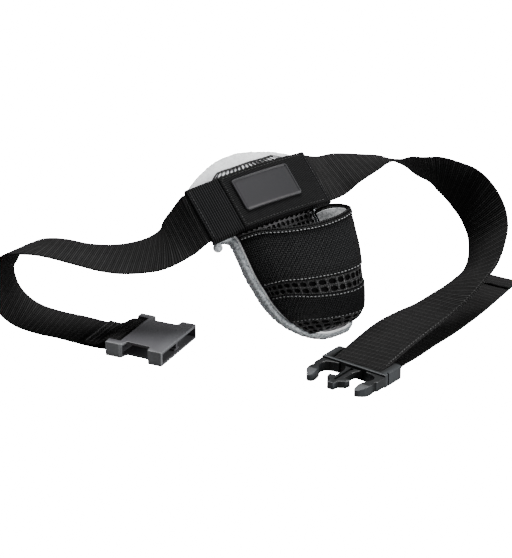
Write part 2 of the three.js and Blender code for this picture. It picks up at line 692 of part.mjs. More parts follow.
// The other half: the plug, with two springy arms and a tongue. Its wrap bar is at x = 0
function maleBuckle() {
  const half = buckleWidth / 2;
  const slotHalf = strapWidth / 2 + 1;
  const slotEnd = barRadius + strapThick + 1.2;
  const rear = slotEnd - maleFrame;
  const barFront = slotEnd + 3;
  const tip = barFront + maleArm;
  const corner = 2;
  const frame = new Shape();
  frame.moveTo(rear + corner, -half);
  frame.lineTo(barFront, -half).lineTo(barFront, half).lineTo(rear + corner, half);
  frame.quadraticCurveTo(rear, half, rear, half - corner);
  frame.lineTo(rear, -half + corner);
  frame.quadraticCurveTo(rear, -half, rear + corner, -half);
  const base = plate(frame, 0, buckleHeight - 1, buckleBevel);
  const slot = block(rear - 1, slotEnd, -slotHalf, slotHalf, -1, buckleHeight + 1);
  const groove = (side) => {
    const y = [side * (half - plugGroove), side * (half + 1)].sort((a, b) => a - b);
    return block(slotEnd - plugGroove - 1, slotEnd - 1, y[0], y[1], -1, buckleHeight);
  };
  // An arm runs along the plug's side, steps in and ends in a broad head that curves to its nose
  const headStart = barFront + 13;
  const inner = half - armHead;
  const arm = (side) => {
    const outline = new Shape();
    outline.moveTo(barFront - 2, side * half);
    outline.lineTo(headStart - 3, side * half);
    outline.quadraticCurveTo(headStart - 1, side * half, headStart, side * (half - 1.5));
    outline.lineTo(headStart + 2, side * (half - 1.5));
    outline.bezierCurveTo(
      headStart + 7, side * half,
      tip - 7, side * (half - 0.8),
      tip - 2.5, side * (half - 5),
    );
    outline.quadraticCurveTo(tip, side * (half - 7.5), tip - 0.5, side * (inner + 1.7));
    outline.quadraticCurveTo(tip - 1.5, side * (inner - 0.3), tip - 5, side * inner);
    outline.bezierCurveTo(
      tip - 10, side * inner,
      headStart + 4, side * (inner + 0.7),
      headStart + 1, side * (half - 7.2),
    );
    outline.quadraticCurveTo(headStart - 2, side * (half - 6), headStart - 5, side * (half - 6.2));
    outline.bezierCurveTo(
      barFront + 4, side * (half - 6.8),
      barFront + 2, side * (half - 0.6 * armRoot),
      barFront + 1.5, side * (half - armRoot),
    );
    outline.lineTo(barFront - 2, side * (half - armRoot));
    outline.closePath();
    return plate(outline, armFoot, armFoot + maleArmHeight, buckleBevel, 4);
  };
  // Seen from the side, both arms get thinner towards the nose
  const armTop = armFoot + maleArmHeight;
  const side = new Shape();
  side.moveTo(barFront - 3, -1).lineTo(tip - 8, -1).lineTo(tip - 8, armFoot);
  side.lineTo(tip + 1, armFoot + noseTaper / 2).lineTo(tip + 1, armTop - noseTaper);
  side.lineTo(tip - 10, armTop).lineTo(tip - 10, buckleHeight).lineTo(barFront - 3, buckleHeight);
  side.closePath();
  const profile = new THREE.ExtrudeGeometry(side, { depth: 2 * half + 4, bevelEnabled: false });
  const taper = solid(profile.rotateX(Math.PI / 2).translate(0, half + 2, 0));
  // The tongue widens into the frame and ends in an arrowhead with a blunt nose
  const w = maleTongueWidth / 2;
  const tongue = new Shape();
  const edge = [
    [barFront + 8, w], [tip - 13, w], [tip - 12, tongueHead], [tip - 7, tongueHead - 1.5],
    [tip - 4, w], [tip - 2, w - 1], [tip + 2, w - 1.4],
  ];
  tongue.moveTo(barFront - 2, -w - 6);
  tongue.quadraticCurveTo(barFront + 3, -w - 1, edge[0][0], -edge[0][1]);
  for (const [x, y] of edge.slice(1)) tongue.lineTo(x, -y);
  for (const [x, y] of edge.slice().reverse()) tongue.lineTo(x, y);
  tongue.quadraticCurveTo(barFront + 3, w + 1, barFront - 2, w + 6);
  tongue.closePath();
  const middle = plate(tongue, tongueFoot, tongueFoot + maleTongueHeight, buckleBevel, 4);
  const channel = block(barFront + 1, tip - 5, -1.6, 1.6, tongueFoot + maleTongueHeight - 1.6, buckleHeight);
  const bar = crossBar(0, buckleHeight / 2 - 0.8, barRadius, 2 * slotHalf + 2);
  const arms = arm(1).add(arm(-1)).intersect(taper);
  const joined = base.subtract(slot).add(bar).subtract(groove(1)).subtract(groove(-1)).add(arms);
  return geometryOf(joined.add(middle).subtract(channel));
}

// Placing of the pad and of the two buckles on the surface
const pad = new THREE.Group();
pad.rotation.set(degToRad(90 - padRecline), degToRad(padRoll), degToRad(padYaw), "ZYX");
const binding = named("pad_binding", padBinding(), edging);
pad.add(binding);
const padFoot = new THREE.Box3().setFromObject(pad, true).min.z;
pad.position.set(padAt.across * leftReach, padAt.back * loopDepth, -padFoot);
pad.updateMatrixWorld(true);

const female = new THREE.Group();
female.position.set(femaleAt.across * leftReach, femaleAt.back * loopDepth, 0);
female.rotation.z = degToRad(femaleTurn);
female.updateMatrixWorld(true);
const male = new THREE.Group();
male.position.set(maleAt.across * rightReach, maleAt.back * loopDepth, 0);
male.rotation.z = degToRad(maleTurn);
male.updateMatrixWorld(true);

// Strap stations. Each holds a middle point and the direction from one long edge to the other
function station(point, side) {
  return { point, side: side.clone().normalize() };
}
function tableStation(row, reach) {
  const yaw = degToRad(row.yaw);
  const lean = degToRad(row.lean);
  const side = new Vector3(Math.sin(yaw) * Math.cos(lean), -Math.cos(yaw) * Math.cos(lean), Math.sin(lean));
  return station(new Vector3(row.out * reach, row.back * loopDepth, row.up * loopRise), side);
}
function buckleStation(group, x, z, facing) {
  const side = new Vector3(0, facing, 0).transformDirection(group.matrixWorld);
  return station(new Vector3(x, 0, z).applyMatrix4(group.matrixWorld), side);
}
function sleeveStation(across) {
  const middle = onStrap(across, 0, (strapLow + strapHigh) / 2).applyMatrix4(pad.matrixWorld);
  const side = new Vector3(0, -1, 0).transformDirection(pad.matrixWorld);
  return station(middle, side);
}
// Stations between chosen ones, on one smooth curve
function between(chosen, count) {
  const points = new THREE.CatmullRomCurve3(chosen.map((s) => s.point), false, "centripetal");
  const sides = new THREE.CatmullRomCurve3(chosen.map((s) => s.side), false, "centripetal");
  const total = (chosen.length - 1) * count;
  return steps(0, 1, total).map((t) => station(points.getPoint(t), sides.getPoint(t)));
}
// Webbing round a bar, from above it to below it
function roundBar(group, barX, barZ, facing) {
  const radius = barRadius + gap + strapThick / 2;
  return steps(Math.PI / 2, -Math.PI / 2, 8).map((turn) =>
    buckleStation(group, barX + radius * Math.cos(turn), barZ + radius * Math.sin(turn), facing),
  );
}

function beltStations() {
  const wrap = barRadius + gap + strapThick / 2;
  const rest = strapThick / 2;
  const second = rest + strapThick + gap;
  const inSleeve = sleeveLength / 2 + 3;
  const femaleBar = buckleHeight / 2;
  const maleBar = buckleHeight / 2 - 0.8;
  const doubled = between([
    buckleStation(female, -doubledEnd - 6, second, -1),
    buckleStation(female, -doubledEnd + 6, second, -1),
    buckleStation(female, -8, femaleBar + 0.8 * wrap, -1),
    buckleStation(female, 0, femaleBar + wrap, -1),
  ], 3);
  const leftArm = between([
    buckleStation(female, 0, femaleBar - wrap, -1),
    buckleStation(female, -8, lerp(rest, femaleBar - wrap, 0.6), -1),
    buckleStation(female, -doubledEnd + 4, rest, -1),
    ...leftRows.map((row) => tableStation({ ...row, out: -row.out }, leftReach)).reverse(),
    sleeveStation(-inSleeve),
  ], 3);
  const middle = steps(-inSleeve, inSleeve, 14).map(sleeveStation);
  const rightArm = between([
    sleeveStation(inSleeve),
    ...rightRows.map((row) => tableStation(row, rightReach)),
    buckleStation(male, -8, maleBar + wrap + 1.4, 1),
    buckleStation(male, 0, maleBar + wrap, 1),
  ], 3);
  const tail = between([
    buckleStation(male, 0, maleBar - wrap, 1),
    buckleStation(male, -8, maleBar - wrap, 1),
    ...tailRows.map((row) => tableStation(row, rightReach)),
  ], 3);
  const last = tail[tail.length - 1];
  const ahead = last.point.clone().sub(tail[tail.length - 2].point).normalize();
  const up = new Vector3().crossVectors(ahead, last.side).negate().normalize();
  const turn = (strapThick + gap) / 2;
  const hemFold = steps(-Math.PI / 2, Math.PI / 2, 6).slice(1).map((angle) => {
    const lift = turn * (1 + Math.sin(angle));
    const out = turn * Math.cos(angle);
    return station(last.point.clone().addScaledVector(up, lift).addScaledVector(ahead, out), last.side);
  });
  const hemTop = steps(0, hemLength, 3).slice(1).map((back) => {
    const from = tail[tail.length - 1].point.clone().addScaledVector(up, 2 * turn);
    return station(from.addScaledVector(ahead, -back), last.side);
  });
  return [
    ...doubled,
    ...roundBar(female, 0, femaleBar, -1).slice(1, -1),
    ...leftArm,
    ...middle.slice(1, -1),
    ...rightArm,
    ...roundBar(male, 0, maleBar, 1).slice(1, -1),
    ...tail,
    ...hemFold,
    ...hemTop,
  ];
}

function beltStrap() {
  const stations = beltStations();
  const x = strapWidth / 2;
  const y = strapThick / 2;
  const outline = [[-x, y], [x, y], [x, -y], [-x, -y]].map((c) => new THREE.Vector2(...c));
  const rings = stations.map(({ point, side }, i) => {
    const from = stations[Math.max(i - 1, 0)].point;
    const to = stations[Math.min(i + 1, stations.length - 1)].point;
    const ahead = to.clone().sub(from).normalize();
    const width = side.clone().addScaledVector(ahead, -side.dot(ahead)).normalize();
    const face = new Vector3().crossVectors(width, ahead);
    return outline.map((c) => point.clone().addScaledVector(width, c.x).addScaledVector(face, c.y));
  });
  return sweep(rings, outline);
}

pad.add(
  named("pad_foam", padFoam(), foam),
  named("pad_net", padNet(), netting),
  named("sleeve", sleeve(), nylon),
  named("sleeve_panel", sleevePanel(), nylon),
  named("label_patch", label(), rubber),
  named("pocket_upper_panel", pocketPanel(upperRows), nylon),
  named("pocket_net_band", pocketNet(bandTop, bandFoot, 1, 16), netting),
  named("pocket_lower_panel", pocketPanel(steps(bandFoot, lowerFoot, 4)), nylon),
  named("pocket_net_foot", pocketNet(lowerFoot, pocketSeam, 2, 10), netting),
  named("pocket_rim_binding", pocketRim(), webbing),
  named("pocket_lining", pocketLining(), liningCloth),
);
female.add(named("buckle_socket", femaleBuckle(), plastic));
male.add(named("buckle_plug", maleBuckle(), plastic));

const belt = new THREE.Group();
belt.add(named("belt_strap", beltStrap(), webbing), pad, female, male);

// The origin is under the middle of the whole belt, on the surface that it lies on
const bounds = new THREE.Box3().setFromObject(belt, true);
const centre = bounds.getCenter(new Vector3());
belt.position.set(-centre.x, -centre.y, -bounds.min.z);

export default belt;
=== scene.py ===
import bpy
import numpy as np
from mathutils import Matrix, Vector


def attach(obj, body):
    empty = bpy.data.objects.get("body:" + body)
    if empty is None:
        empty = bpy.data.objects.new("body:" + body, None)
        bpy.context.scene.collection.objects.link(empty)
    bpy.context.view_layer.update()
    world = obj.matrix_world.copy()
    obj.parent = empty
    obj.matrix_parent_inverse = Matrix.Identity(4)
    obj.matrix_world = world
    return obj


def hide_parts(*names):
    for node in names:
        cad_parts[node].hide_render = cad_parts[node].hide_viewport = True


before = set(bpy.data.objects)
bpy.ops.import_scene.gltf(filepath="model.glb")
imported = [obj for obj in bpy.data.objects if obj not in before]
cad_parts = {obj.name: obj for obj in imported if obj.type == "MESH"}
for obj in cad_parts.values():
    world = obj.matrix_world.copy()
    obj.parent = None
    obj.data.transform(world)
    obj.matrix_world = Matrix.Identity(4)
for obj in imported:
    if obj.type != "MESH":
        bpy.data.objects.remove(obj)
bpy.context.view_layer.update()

# %% [markdown]
# # A fishing fighting belt
# The belt is laid open on a pale table. Both hard halves of its buckle come from the CAD frame as they
# are. Every piece of cloth and the label are made again here as surfaces with rounded edges, because
# cloth drawn as a plain block looks like card. Lengths are millimetres until a mesh is made.

MM = 0.001

# %% [markdown]
# ## One way to make every mesh
# Each piece is an array of points on a grid and an array of faces. A helper turns the faces outwards
# by the sign of the volume, stores where each point lies on the flat cloth as its UV map, and lets the
# piece ride on the frame. Building them by hand in edit mode would not repeat exactly, and a loop over
# vertices would be slow, so whole arrays are worked out at once.

# %% The mesh helper
def facing_out(points, faces):
    """Faces turned over where the sum of their signed volumes about the origin is negative."""
    a, b, c, d = (points[faces[:, k]] for k in range(4))
    volume = np.einsum("ij,ij->", a, np.cross(b, c)) + np.einsum("ij,ij->", a, np.cross(c, d))
    return faces[:, ::-1] if volume < 0 else faces


def put_piece(name, points, faces, finish, uv, closed=True):
    """A smooth mesh from points in millimetres, quads, and the place of each point on the cloth."""
    points = np.asarray(points, float).reshape(-1, 3)
    faces = facing_out(points, faces) if closed else faces
    mesh = bpy.data.meshes.new(name)
    mesh.from_pydata((points * MM).tolist(), [], faces.tolist())
    mesh.polygons.foreach_set("use_smooth", np.ones(len(mesh.polygons), bool))
    layer = mesh.uv_layers.new(name="Cloth")
    corners = np.zeros(len(mesh.loops), np.int32)
    mesh.loops.foreach_get("vertex_index", corners)
    places = (np.asarray(uv, float).reshape(-1, 2) * MM)[corners]
    layer.data.foreach_set("uv", places.astype(np.float32).ravel())
    mesh.materials.append(finish)
    mesh.update()
    piece = bpy.data.objects.new(name, mesh)
    bpy.context.scene.collection.objects.link(piece)
    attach(piece, "root")
    print(name, len(points), "points", len(faces), "faces")
    return piece


def paired(first, second):
    """Two coordinates spread over one grid, side by side."""
    return np.stack(np.broadcast_arrays(first, second), -1)


def strip_faces(rows, ring):
    """Quads of a ring of points carried along rows, with each end zipped shut from side to side."""
    k = np.arange(rows - 1)[:, None] * ring
    i = np.arange(ring)[None, :]
    after = (i + 1) % ring
    sides = np.stack([k + i, k + after, k + ring + after, k + ring + i], -1).reshape(-1, 4)
    j = np.arange(ring // 2 - 1)
    zip_up = np.stack([j, ring - 1 - j, ring - 2 - j, j + 1], -1)
    return np.vstack([sides, zip_up, zip_up[:, ::-1] + (rows - 1) * ring])


def closed_faces(rows, ring):
    """Quads of a ring of points carried along rows whose last row joins the first."""
    k = np.arange(rows)[:, None]
    i = np.arange(ring)[None, :]
    k_next, i_next = (k + 1) % rows, (i + 1) % ring
    quads = [k * ring + i, k * ring + i_next, k_next * ring + i_next, k_next * ring + i]
    return np.stack(quads, -1).reshape(-1, 4)


def put_skin(name, points, finish, uv, faces_of=strip_faces):
    """A piece from a grid of points: a ring carried along rows, with faces by faces_of."""
    return put_piece(name, points, faces_of(*points.shape[:2]), finish, uv)


# %% [markdown]
# ## The edge of a cloth
# Cut cloth has a thickness and a soft edge. A Solidify modifier gives the thickness but leaves square
# edges, so one section with half round ends is worked out here and carried along every cloth.

# %% The section of a cloth
def cloth_section(low, high, thick, columns, turn=4):
    """A flat section from low to high across, with half round edges: its upper half from left to
    right, then its lower half back. Each pair of a point above and one below stands face to face."""
    radius = thick / 2
    angle = np.radians(np.linspace(12, 90, turn))
    left = np.stack([low + radius * (1 - np.cos(angle)), radius * np.sin(angle)], 1)
    middle = np.linspace(low + radius, high - radius, columns)[1:-1]
    flat = np.stack([middle, np.full(len(middle), radius)], 1)
    right = np.stack([high - radius * (1 - np.cos(angle)), radius * np.sin(angle)], 1)[::-1]
    upper = np.vstack([left, flat, right])
    return np.vstack([upper, upper[::-1] * [1, -1]])


print("a cloth's section has", len(cloth_section(0, 10, 1, 6)), "points")

# %% [markdown]
# ## Curves and tables
# The frame's cloth follows a few tables, such as how far the pocket stands out at each level. Reading
# a table by a smooth cubic gives a soft surface from a handful of rows, and the strap's route is a
# centripetal curve, which never loops between its points.

# %% Smooth tables and curves
def smooth_table(rows):
    """Rows of (place, values...) read by a cubic whose slope at each row follows its neighbours."""
    rows = np.asarray(rows, float)
    place, values = rows[:, 0], rows[:, 1:]
    slope = np.gradient(values, place, axis=0)

    def read(x):
        x = np.clip(np.asarray(x, float), place[0], place[-1])
        k = np.clip(np.searchsorted(place, x, side="right") - 1, 0, len(place) - 2)
        span = place[k + 1] - place[k]
        s = ((x - place[k]) / span)[..., None]
        rise = span[..., None]
        start = (1 + 2 * s) * (1 - s) ** 2 * values[k] + s * (1 - s) ** 2 * rise * slope[k]
        end = s**2 * (3 - 2 * s) * values[k + 1] + s**2 * (s - 1) * rise * slope[k + 1]
        return start + end

    return read


def route(points, count, closed=False):
    """Points on a centripetal Catmull-Rom curve, count of them between each pair."""
    p = np.asarray(points, float)
    if closed:
        p = np.vstack([p[-1:], p, p[:2]])
    else:
        p = np.vstack([2 * p[:1] - p[1:2], p, 2 * p[-1:] - p[-2:-1]])
    step = np.maximum(np.linalg.norm(np.diff(p, axis=0), axis=1), 1e-6) ** 0.5
    a, b, c, d = p[:-3], p[1:-2], p[2:-1], p[3:]
    t0, t1, t2 = (step[k : len(step) - 2 + k, None] for k in range(3))
    first = ((b - a) / t0 - (c - a) / (t0 + t1) + (c - b) / t1) * t1
    second = ((c - b) / t1 - (d - b) / (t1 + t2) + (d - c) / t2) * t1
    s = (np.arange(count) / count)[None, :, None]
    b, c, first, second = (x[:, None, :] for x in (b, c, first, second))
    found = b + first * s + (3 * (c - b) - 2 * first - second) * s**2
    found = found + (2 * (b - c) + first + second) * s**3
    found = found.reshape(-1, p.shape[1])
    return found if closed else np.vstack([found, p[-2:-1]])


def measured(points):
    """Length along a line of points, from its first."""
    return np.r_[0, np.cumsum(np.linalg.norm(np.diff(points, axis=0), axis=1))]


def unit(v):
    """Each vector over its own length."""
    return v / np.maximum(np.linalg.norm(v, axis=-1, keepdims=True), 1e-9)


corner = route([(0, 0), (10, 0), (10, 10)], 8)
print("a curve round a corner of two legs of 10 mm is", measured(corner)[-1].round(1), "mm long")

# %% [markdown]
# ## The pad's frame
# The pad stands on its foot and leans back. Its front face is bent both ways like a slice of a barrel.
# The strap and its sleeve bend with it across, and stay flat from edge to edge. One function gives a
# point for a place across, a place up and a height over the face, so every layer follows the one below.

# %% The pad's face
ROW_SHIFT = np.array([-0.114, -76.061, 0.096])  # from the first layout to the middle of the box
PAD_AT = np.array([2.99, 113, 116.45]) + ROW_SHIFT
SOCKET_AT = np.array([-111.78, 59.4, 0]) + ROW_SHIFT
PLUG_AT = np.array([88.41, -6, 0]) + ROW_SHIFT
SOCKET_TURN = -26
PLUG_TURN = -127.5
PAD_TURN = (39, -5, 32.5)
BEND_ALONG = 230
BEND_ACROSS = 330
GAP = 0.3
STRAP_WIDTH = 50
STRAP_THICK = 2
NET_HIGH = 1.6
BINDING_HIGH = 3.4
STRAP_LOW = 3.7
STRAP_HIGH = 5.7
SLEEVE_LOW = 6.0
SLEEVE_HIGH = 7.8
PANEL_LOW = 8.1
PANEL_HIGH = 9.1
LABEL_LOW = 9.4
SLEEVE_HALF = 27.6
SLEEVE_LENGTH = 121
SLEEVE_SHIFT = -2
SLEEVE_DROP = -1


def turning(x_turn, y_turn, z_turn):
    """The matrix that turns about x, then y, then z, each in degrees."""
    (a, b, c), (d, e, f) = (g(np.radians([x_turn, y_turn, z_turn])) for g in (np.cos, np.sin))
    about_x = np.array([[1, 0, 0], [0, a, -d], [0, d, a]])
    about_y = np.array([[b, 0, e], [0, 1, 0], [-e, 0, b]])
    about_z = np.array([[c, -f, 0], [f, c, 0], [0, 0, 1]])
    return about_z @ about_y @ about_x


PAD_MATRIX = turning(*PAD_TURN)


def bent(across, up, height):
    """The pad's own frame: arcs across and up, and height along the normal of the bent face."""
    across, up, height = np.broadcast_arrays(across, up, height)
    a, u = across / BEND_ACROSS, up / BEND_ALONG
    sink = BEND_ALONG * (np.cos(u) - 1) + BEND_ACROSS * (np.cos(a) - 1)
    face = np.stack([BEND_ACROSS * np.sin(a), BEND_ALONG * np.sin(u), sink], -1)
    normal = unit(np.stack([np.sin(a), np.sin(u), np.cos(a) * np.cos(u)], -1))
    return face + normal * height[..., None]


def placed(points):
    """From the pad's own frame to the row frame."""
    return points @ PAD_MATRIX.T + PAD_AT


def on_pad(across, up, height):
    """A point over the pad's face."""
    return placed(bent(across, up, height))


def on_strap(across, up, height):
    """A point over the strap on the pad: bent across it, and flat from edge to edge."""
    flat = bent(np.asarray(across) + SLEEVE_SHIFT, 0, height)
    rise = np.asarray(up, float) + SLEEVE_DROP
    return placed(flat + np.stack([0 * rise, rise, 0 * rise], -1))


print("middle of the pad", on_pad(0.0, 0.0, 0.0).round(1))

# %% [markdown]
# ## The outline of the pad
# Half of the outline is a table of widths. It is mirrored, leaned a little and closed with a curve.
# Each layer of the pad is this outline drawn smaller by an inset.

# %% Pad outline
PAD_HALF = 45.7
WING_HALF = 60
PAD_ABOVE = 48
PAD_BELOW = 141
PAD_THICK = 7.5
PAD_LEAN = 22
CROWN_LEAN = -5
OUTLINE_COUNT = 480
# Each row: the place from the foot at -1 to the crown at 1, then the shares of half width and of wing
PAD_ROWS = [
    (-1, 0.24, 0), (-0.98, 0.4, 0), (-0.94, 0.56, 0), (-0.87, 0.72, 0), (-0.78, 0.85, 0),
    (-0.68, 0.93, 0), (-0.57, 0.97, 0), (-0.45, 1, 0), (-0.33, 1, 0), (-0.25, 1, 0),
    (-0.22, 1, 0.06), (-0.19, 1, 0.62), (-0.16, 1, 0.96), (-0.1, 1, 1), (0, 1, 1),
    (0.27, 1, 1), (0.54, 1, 1),
    (0.65, 0.88, 1), (0.76, 0.72, 1), (0.87, 0.52, 1), (0.95, 0.32, 1), (1, 0.14, 1),
]
pad_table = smooth_table(PAD_ROWS)


def pad_side(along, side, wings=True):
    """An edge point of the pad: a share of its half width and wings, leaned by a power of along."""
    along = np.asarray(along, float)
    half, wing = np.moveaxis(pad_table(along), -1, 0)
    reach = half * (PAD_HALF + (WING_HALF - PAD_HALF) * wing * wings)
    lean = np.where(along < 0, PAD_LEAN * along**4, CROWN_LEAN * along**2)
    up = along * np.where(along < 0, PAD_BELOW, PAD_ABOVE)
    return np.stack([lean + side * reach, up], -1)


def even(points, count):
    """A closed line of points taken again at equal lengths."""
    ring = np.vstack([points, points[:1]])
    along = measured(ring)
    wanted = np.linspace(0, along[-1], count, endpoint=False)
    return np.stack([np.interp(wanted, along, ring[:, k]) for k in range(ring.shape[1])], 1)


places = np.array([row[0] for row in PAD_ROWS])
corners = np.vstack([pad_side(places, 1), pad_side(places, -1)[::-1]])
OUTLINE = even(route(corners, 12, closed=True), OUTLINE_COUNT)
ahead = unit(np.roll(OUTLINE, -1, 0) - np.roll(OUTLINE, 1, 0))
INWARD = np.stack([-ahead[:, 1], ahead[:, 0]], 1)


def pad_span(up, inset):
    """Left and right end of the inset outline at each place up."""
    ring = OUTLINE + INWARD * inset
    middle = len(ring) // 2
    right, left = ring[:middle], ring[middle:][::-1]
    order = [np.argsort(side[:, 1]) for side in (left, right)]
    return [np.interp(up, s[o, 1], s[o, 0]) for s, o in zip((left, right), order)]


# %% [markdown]
# ## Patterns of the cloth
# Webbing, woven nylon and net differ mostly in the pattern of their threads, so each pattern is a node
# group that several materials share. A group reads a place on the cloth, in metres, and puts out a
# height, which serves for the bump and also lightens the tops of the threads. Drawing the threads by
# arithmetic keeps them sharp at any distance, which a picture would not.

# %% Node helper
def node(tree, kind, inputs=(), **settings):
    """A node with its settings, and its inputs set to a number or joined to another node's socket."""
    made = tree.nodes.new(kind)
    for key, value in settings.items():
        setattr(made, key, value)
    for key, value in dict(inputs).items():
        if isinstance(value, bpy.types.NodeSocket):
            tree.links.new(value, made.inputs[key])
        else:
            made.inputs[key].default_value = value
    return made


def maths(tree, operation, *values):
    """The result of a Math node on numbers or sockets."""
    return node(tree, "ShaderNodeMath", enumerate(values), operation=operation).outputs[0]


def group(name, inputs, outputs):
    """An empty node group with named sockets, and its input node."""
    tree = bpy.data.node_groups.new(name, "ShaderNodeTree")
    for key, (kind, value) in inputs.items():
        socket = tree.interface.new_socket(key, in_out="INPUT", socket_type=kind)
        if value is not None:
            socket.default_value = value
    for key in outputs:
        tree.interface.new_socket(key, in_out="OUTPUT", socket_type="NodeSocketFloat")
    return tree, node(tree, "NodeGroupInput").outputs


def hump(tree, place, rate=np.pi):
    """The absolute sine of a place times a rate: a row of round ridges with sharp valleys."""
    return maths(tree, "ABSOLUTE", maths(tree, "SINE", maths(tree, "MULTIPLY", place, rate)))


# %% Basket weave: a height that runs over and under
def weave_group():
    """Cells of a chequer. In each the thread is round across its own run and bulges along it."""
    sockets = {
        "Place": ("NodeSocketVector", None),
        "Across": ("NodeSocketFloat", 0.0015),
        "Along": ("NodeSocketFloat", 0.0015),
    }
    tree, given = group("Woven threads", sockets, ["Height"])
    split = node(tree, "ShaderNodeSeparateXYZ", {0: given["Place"]}).outputs
    u = maths(tree, "DIVIDE", split[0], given["Across"])
    v = maths(tree, "DIVIDE", split[1], given["Along"])
    floors = maths(tree, "ADD", maths(tree, "FLOOR", u, 0.0), maths(tree, "FLOOR", v, 0.0))
    chequer = maths(tree, "PINGPONG", floors, 1.0)
    bulge = [hump(tree, x) for x in (u, v)]
    runs = []
    for own, other in (bulge, bulge[::-1]):
        softened = maths(tree, "MULTIPLY_ADD", other, 0.45, 0.55)
        runs.append(maths(tree, "MULTIPLY", own, softened))
    chosen = node(tree, "ShaderNodeMix", {0: chequer, 2: runs[0], 3: runs[1]}).outputs[0]
    node(tree, "NodeGroupOutput", {0: chosen})
    return tree


WEAVE = weave_group()
print("pattern", WEAVE.name)

# %% [markdown]
# ## Ribs
# Webbing has cords across it and warp threads along it. A Wave texture makes even stripes but not two
# sizes of them at once, so the ridges are sines that are multiplied, and each finish has its own pitch.

# %% Ribs: ridges across a band, with finer threads along it
def rib_group():
    """Round ridges by the sine of the place along, slanted a little, and finer ones across. Bands
    makes every third ridge stand out, by a high power of a slower sine."""
    sockets = {
        "Place": ("NodeSocketVector", None),
        "Pitch": ("NodeSocketFloat", 0.0016),
        "Slant": ("NodeSocketFloat", 0.0),
        "Threads": ("NodeSocketFloat", 0.0011),
        "Bands": ("NodeSocketFloat", 0.0),
    }
    tree, given = group("Ribbed band", sockets, ["Height"])
    split = node(tree, "ShaderNodeSeparateXYZ", {0: given["Place"]}).outputs
    leaned = maths(tree, "MULTIPLY_ADD", split[0], given["Slant"], split[1])
    turns = maths(tree, "DIVIDE", leaned, given["Pitch"])
    ridge = hump(tree, turns)
    fine = maths(tree, "DIVIDE", split[0], given["Threads"])
    thread = hump(tree, fine)
    both = maths(tree, "MULTIPLY", ridge, maths(tree, "MULTIPLY_ADD", thread, 0.4, 0.6))
    slow = hump(tree, turns, np.pi / 3)
    third = maths(tree, "POWER", slow, 6.0)
    raised = maths(tree, "MULTIPLY", given["Bands"], maths(tree, "MULTIPLY_ADD", third, 1.6, -1.0))
    banded = maths(tree, "MULTIPLY", both, maths(tree, "ADD", raised, 1.0))
    node(tree, "NodeGroupOutput", {0: banded})
    return tree


RIBS = rib_group()
print("pattern", RIBS.name)

# %% [markdown]
# ## Mottle
# Dye and pile are never quite even. Two sizes of noise give blotches and fine grain together, and the
# same group serves the cloths, the terry and the moulded plastic at different sizes.

# %% Mottle: soft unevenness of dye and pile
def mottle_group():
    """Two sizes of noise added together, from 0 to 1."""
    sockets = {"Place": ("NodeSocketVector", None), "Size": ("NodeSocketFloat", 0.004)}
    tree, given = group("Mottle", sockets, ["Amount"])
    scale = maths(tree, "DIVIDE", 1.0, given["Size"])
    broad = node(tree, "ShaderNodeTexNoise", {"Vector": given["Place"], "Scale": scale, "Detail": 3.0})
    finer = maths(tree, "MULTIPLY", scale, 3.7)
    fine = node(tree, "ShaderNodeTexNoise", {"Vector": given["Place"], "Scale": finer, "Detail": 2.0})
    half = maths(tree, "MULTIPLY", broad.outputs[0], 0.55)
    summed = maths(tree, "MULTIPLY_ADD", fine.outputs[0], 0.45, half)
    node(tree, "NodeGroupOutput", {0: summed})
    return tree


MOTTLE = mottle_group()
print("pattern", MOTTLE.name)

# %% [markdown]
# ## Finishes
# Black cloth is never black: the tops of its threads catch the light and the gaps between them don't.
# A picture of cloth would blur near by, so each cloth paints this light and shade: it mixes a dark and
# a lighter colour by the height of its threads, and the mottle varies it. Terry has a soft sheen over
# its loops. Hard plastic is satin, with a fine moulded grain and rubbed edges.

# %% What every finish shares
def started(name):
    """A new material with its Principled shader alone."""
    made = bpy.data.materials.new(name)
    made.use_nodes = True
    return made, made.node_tree, made.node_tree.nodes["Principled BSDF"]


def mottled(tree, place, size):
    """The mottle's amount at a place, for blotches of one size in metres."""
    return node(tree, "ShaderNodeGroup", {"Place": place, "Size": size}, node_tree=MOTTLE).outputs[0]


def blended(tree, share, dark, light):
    """A colour that goes from dark to light by a share. Each is a colour or another node's socket."""
    ends = [c if isinstance(c, bpy.types.NodeSocket) else (*c, 1) for c in (dark, light)]
    return node(tree, "ShaderNodeMix", {0: share, 6: ends[0], 7: ends[1]}, data_type="RGBA").outputs[2]


def bumped(tree, shader, height, depth):
    """The height as a bump of the shader's surface, depth metres high."""
    bump = node(tree, "ShaderNodeBump", {"Height": height, "Distance": depth, "Strength": 1.0})
    tree.links.new(bump.outputs[0], shader.inputs["Normal"])


# %% Cloth: threads that rise from dark to light
def cloth(name, dark, light, pattern, values, depth, roughness, gloss=0.2, mottle=0.5, size=0.006):
    """The colour goes from dark to light by the height of the threads times a mottle about one, and
    the same height is the bump. The lighter tops are a painted highlight and the dark gaps painted shade;
    the mottle is uneven dye."""
    made, tree, shader = started(name)
    place = node(tree, "ShaderNodeTexCoord").outputs
    inputs = {"Place": place["UV"], **values}
    threads = node(tree, "ShaderNodeGroup", inputs, node_tree=pattern).outputs[0]
    lift = maths(tree, "MULTIPLY_ADD", mottled(tree, place["Object"], size), mottle, 0.5 - mottle / 2)
    # Painted highlight on the tops of the threads and painted shade in the gaps, varied by the uneven dye.
    share = maths(tree, "MULTIPLY", threads, maths(tree, "MULTIPLY", lift, 2.0))
    tree.links.new(blended(tree, share, dark, light), shader.inputs["Base Color"])
    bumped(tree, shader, threads, depth)
    shader.inputs["Roughness"].default_value = roughness
    shader.inputs["Specular IOR Level"].default_value = gloss
    return made


# %% Pile: blotches and fine loops
# The near white of a painted highlight on the terry's crown, where the light from above falls.
HIGHLIGHT_WHITE = (0.92, 0.93, 0.94)


